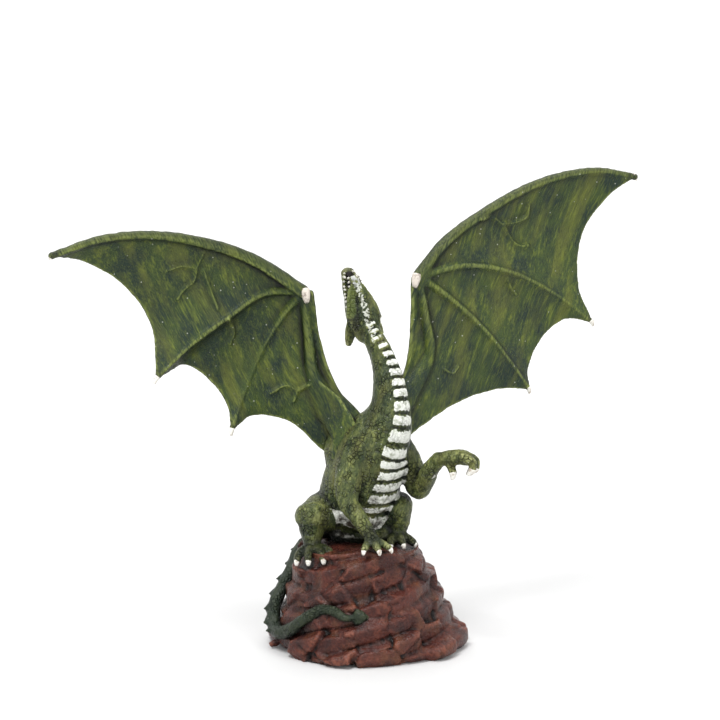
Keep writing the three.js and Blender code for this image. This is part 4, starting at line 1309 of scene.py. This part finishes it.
# %% A tree that sets hooked cones on points
def spike_tree():
    tree, given = new_tree("hooked_spikes", ("Hook", "Float", 0.35), ("Material", "Material", None))
    cone = add(tree, "GeometryNodeMeshCone")
    sizes = {"Vertices": 14, "Side Segments": 7, "Radius Top": 0.3, "Radius Bottom": 1.0, "Depth": 1.0}
    for name, value in sizes.items():
        cone.inputs[name].default_value = value
    place = add(tree, "GeometryNodeInputPosition").outputs[0]
    parts = add(tree, "ShaderNodeSeparateXYZ", place).outputs
    swell = math_node(tree, "MULTIPLY_ADD", parts[2], 0.6, 1.0)
    hook = times(tree, math_node(tree, "POWER", parts[2], 2.0), given["Hook"])
    sway = math_node(tree, "ADD", times(tree, parts[1], swell), hook)
    shaped = add(tree, "ShaderNodeCombineXYZ", times(tree, parts[0], swell), sway, parts[2])
    bowed = add(tree, "GeometryNodeSetPosition", cone.outputs["Mesh"])
    tree.links.new(shaped.outputs[0], bowed.inputs["Position"])
    way, girth = stored(tree, "reach", "FLOAT_VECTOR"), stored(tree, "girth")
    aim = add(tree, "FunctionNodeAlignRotationToVector", axis="Z")
    tree.links.new(way, aim.inputs["Vector"])
    twist = add(tree, "FunctionNodeAlignRotationToVector", axis="Y", pivot_axis="Z")
    tree.links.new(aim.outputs[0], twist.inputs["Rotation"])
    tree.links.new(stored(tree, "hook", "FLOAT_VECTOR"), twist.inputs["Vector"])
    length = add(tree, "ShaderNodeVectorMath", way, operation="LENGTH").outputs["Value"]
    size = add(tree, "ShaderNodeCombineXYZ", girth, girth, length)
    spots = add(tree, "GeometryNodeInstanceOnPoints", given["Geometry"])
    for value, socket in ((bowed, "Instance"), (twist, "Rotation"), (size, "Scale")):
        tree.links.new(value.outputs[0], spots.inputs[socket])
    return end_tree(tree, spots.outputs[0], given["Material"])


SPIKES = spike_tree()


def set_spikes(name, spots, hook, material):
    thing = make_object(name, [s[0] for s in spots], [])
    for key, column in (("reach", 1), ("hook", 3)):
        layer = thing.data.attributes.new(key, "FLOAT_VECTOR", "POINT")
        scale = MM if key == "reach" else 1.0
        layer.data.foreach_set("vector", (np.array([s[column] for s in spots]) * scale).ravel())
    store(thing, "girth", [s[2] * MM for s in spots])
    run_tree(thing, SPIKES, hook=hook, material=material)
    print(name, len(spots), "spikes,", len(thing.data.polygons), "faces")
    return thing


# %% [markdown]
# Claws are off-white with grubby patches, the thumb claws on the wings are browner, and the teeth are
# duller. All three are the same gloss paint in other colours.


# %% Claw and tooth paint
def bone_paint(name, pale, grubby):
    made = bpy.data.materials.new(name)
    made.use_nodes = True
    tree = made.node_tree
    mottle = noise(tree, object_place(tree), 1.4, 4)
    repaint(made, blend(tree, ramp(tree, mottle, 0.5, 0.68), chart(pale), chart(grubby)))
    tree.nodes["Principled BSDF"].inputs["Roughness"].default_value = 0.35
    return made


claw_paint = bone_paint("claw_paint", "e6e4dc", "a89a8a")
tooth_paint = bone_paint("tooth_paint", "c8c6bc", "8e8a80")
thumb_paint = bone_paint("thumb_paint", "cdc4b9", "65554a")
claws = set_spikes("claws", claw_spots, 0.5, claw_paint)
thumbs = set_spikes("wing_thumbs", thumb_spots, 0.5, thumb_paint)
teeth_spots = []
uneven = np.random.default_rng(5)
for side in (-1, 1):
    for a in np.linspace(12.5, 24, 9) + uneven.uniform(-0.35, 0.35, 9):
        half = np.interp(a, [12, 17, 21.5, 24.4], [4.3, 3.5, 2.6, 1.3])
        way = chin_way * uneven.uniform(1.4, 2.4) + side * right_way * 0.3
        way = way + snout_way * uneven.uniform(-0.5, 0.5)
        teeth_spots.append((head_at(a, -0.9, side * half), way, uneven.uniform(0.36, 0.58), -snout_way))
    for a in np.linspace(13, 21.5, 7) + uneven.uniform(-0.35, 0.35, 7):
        half = np.interp(a, [8.5, 14, 18.5, 21.5], [3.6, 2.8, 2.1, 1.5])
        way = -chin_way * uneven.uniform(1.2, 2) + snout_way * uneven.uniform(-0.5, 0.5)
        teeth_spots.append((head_at(a + 0.4, 2.8, side * half), way, uneven.uniform(0.34, 0.52), -snout_way))
teeth = set_spikes("teeth", teeth_spots, 0.2, tooth_paint)

# %% [markdown]
# Each finished piece stands for its solid and rides on the one body, since nothing here moves. The
# claws and teeth ride along without replacing anything.

# %% Hand the pieces to the frame
for piece, node, slot in (
    (dragon, "dragon", "painted_hide"),
    (right_wing, "right_wing", "painted_wing"),
    (left_wing, "left_wing", "painted_wing"),
    (rock, "rock_base", "painted_rock"),
):
    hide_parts(node)
for piece in (dragon, right_wing, left_wing, rock, claws, thumbs, teeth):
    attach(piece, "root")
    for polygon in piece.data.polygons:
        polygon.use_smooth = True
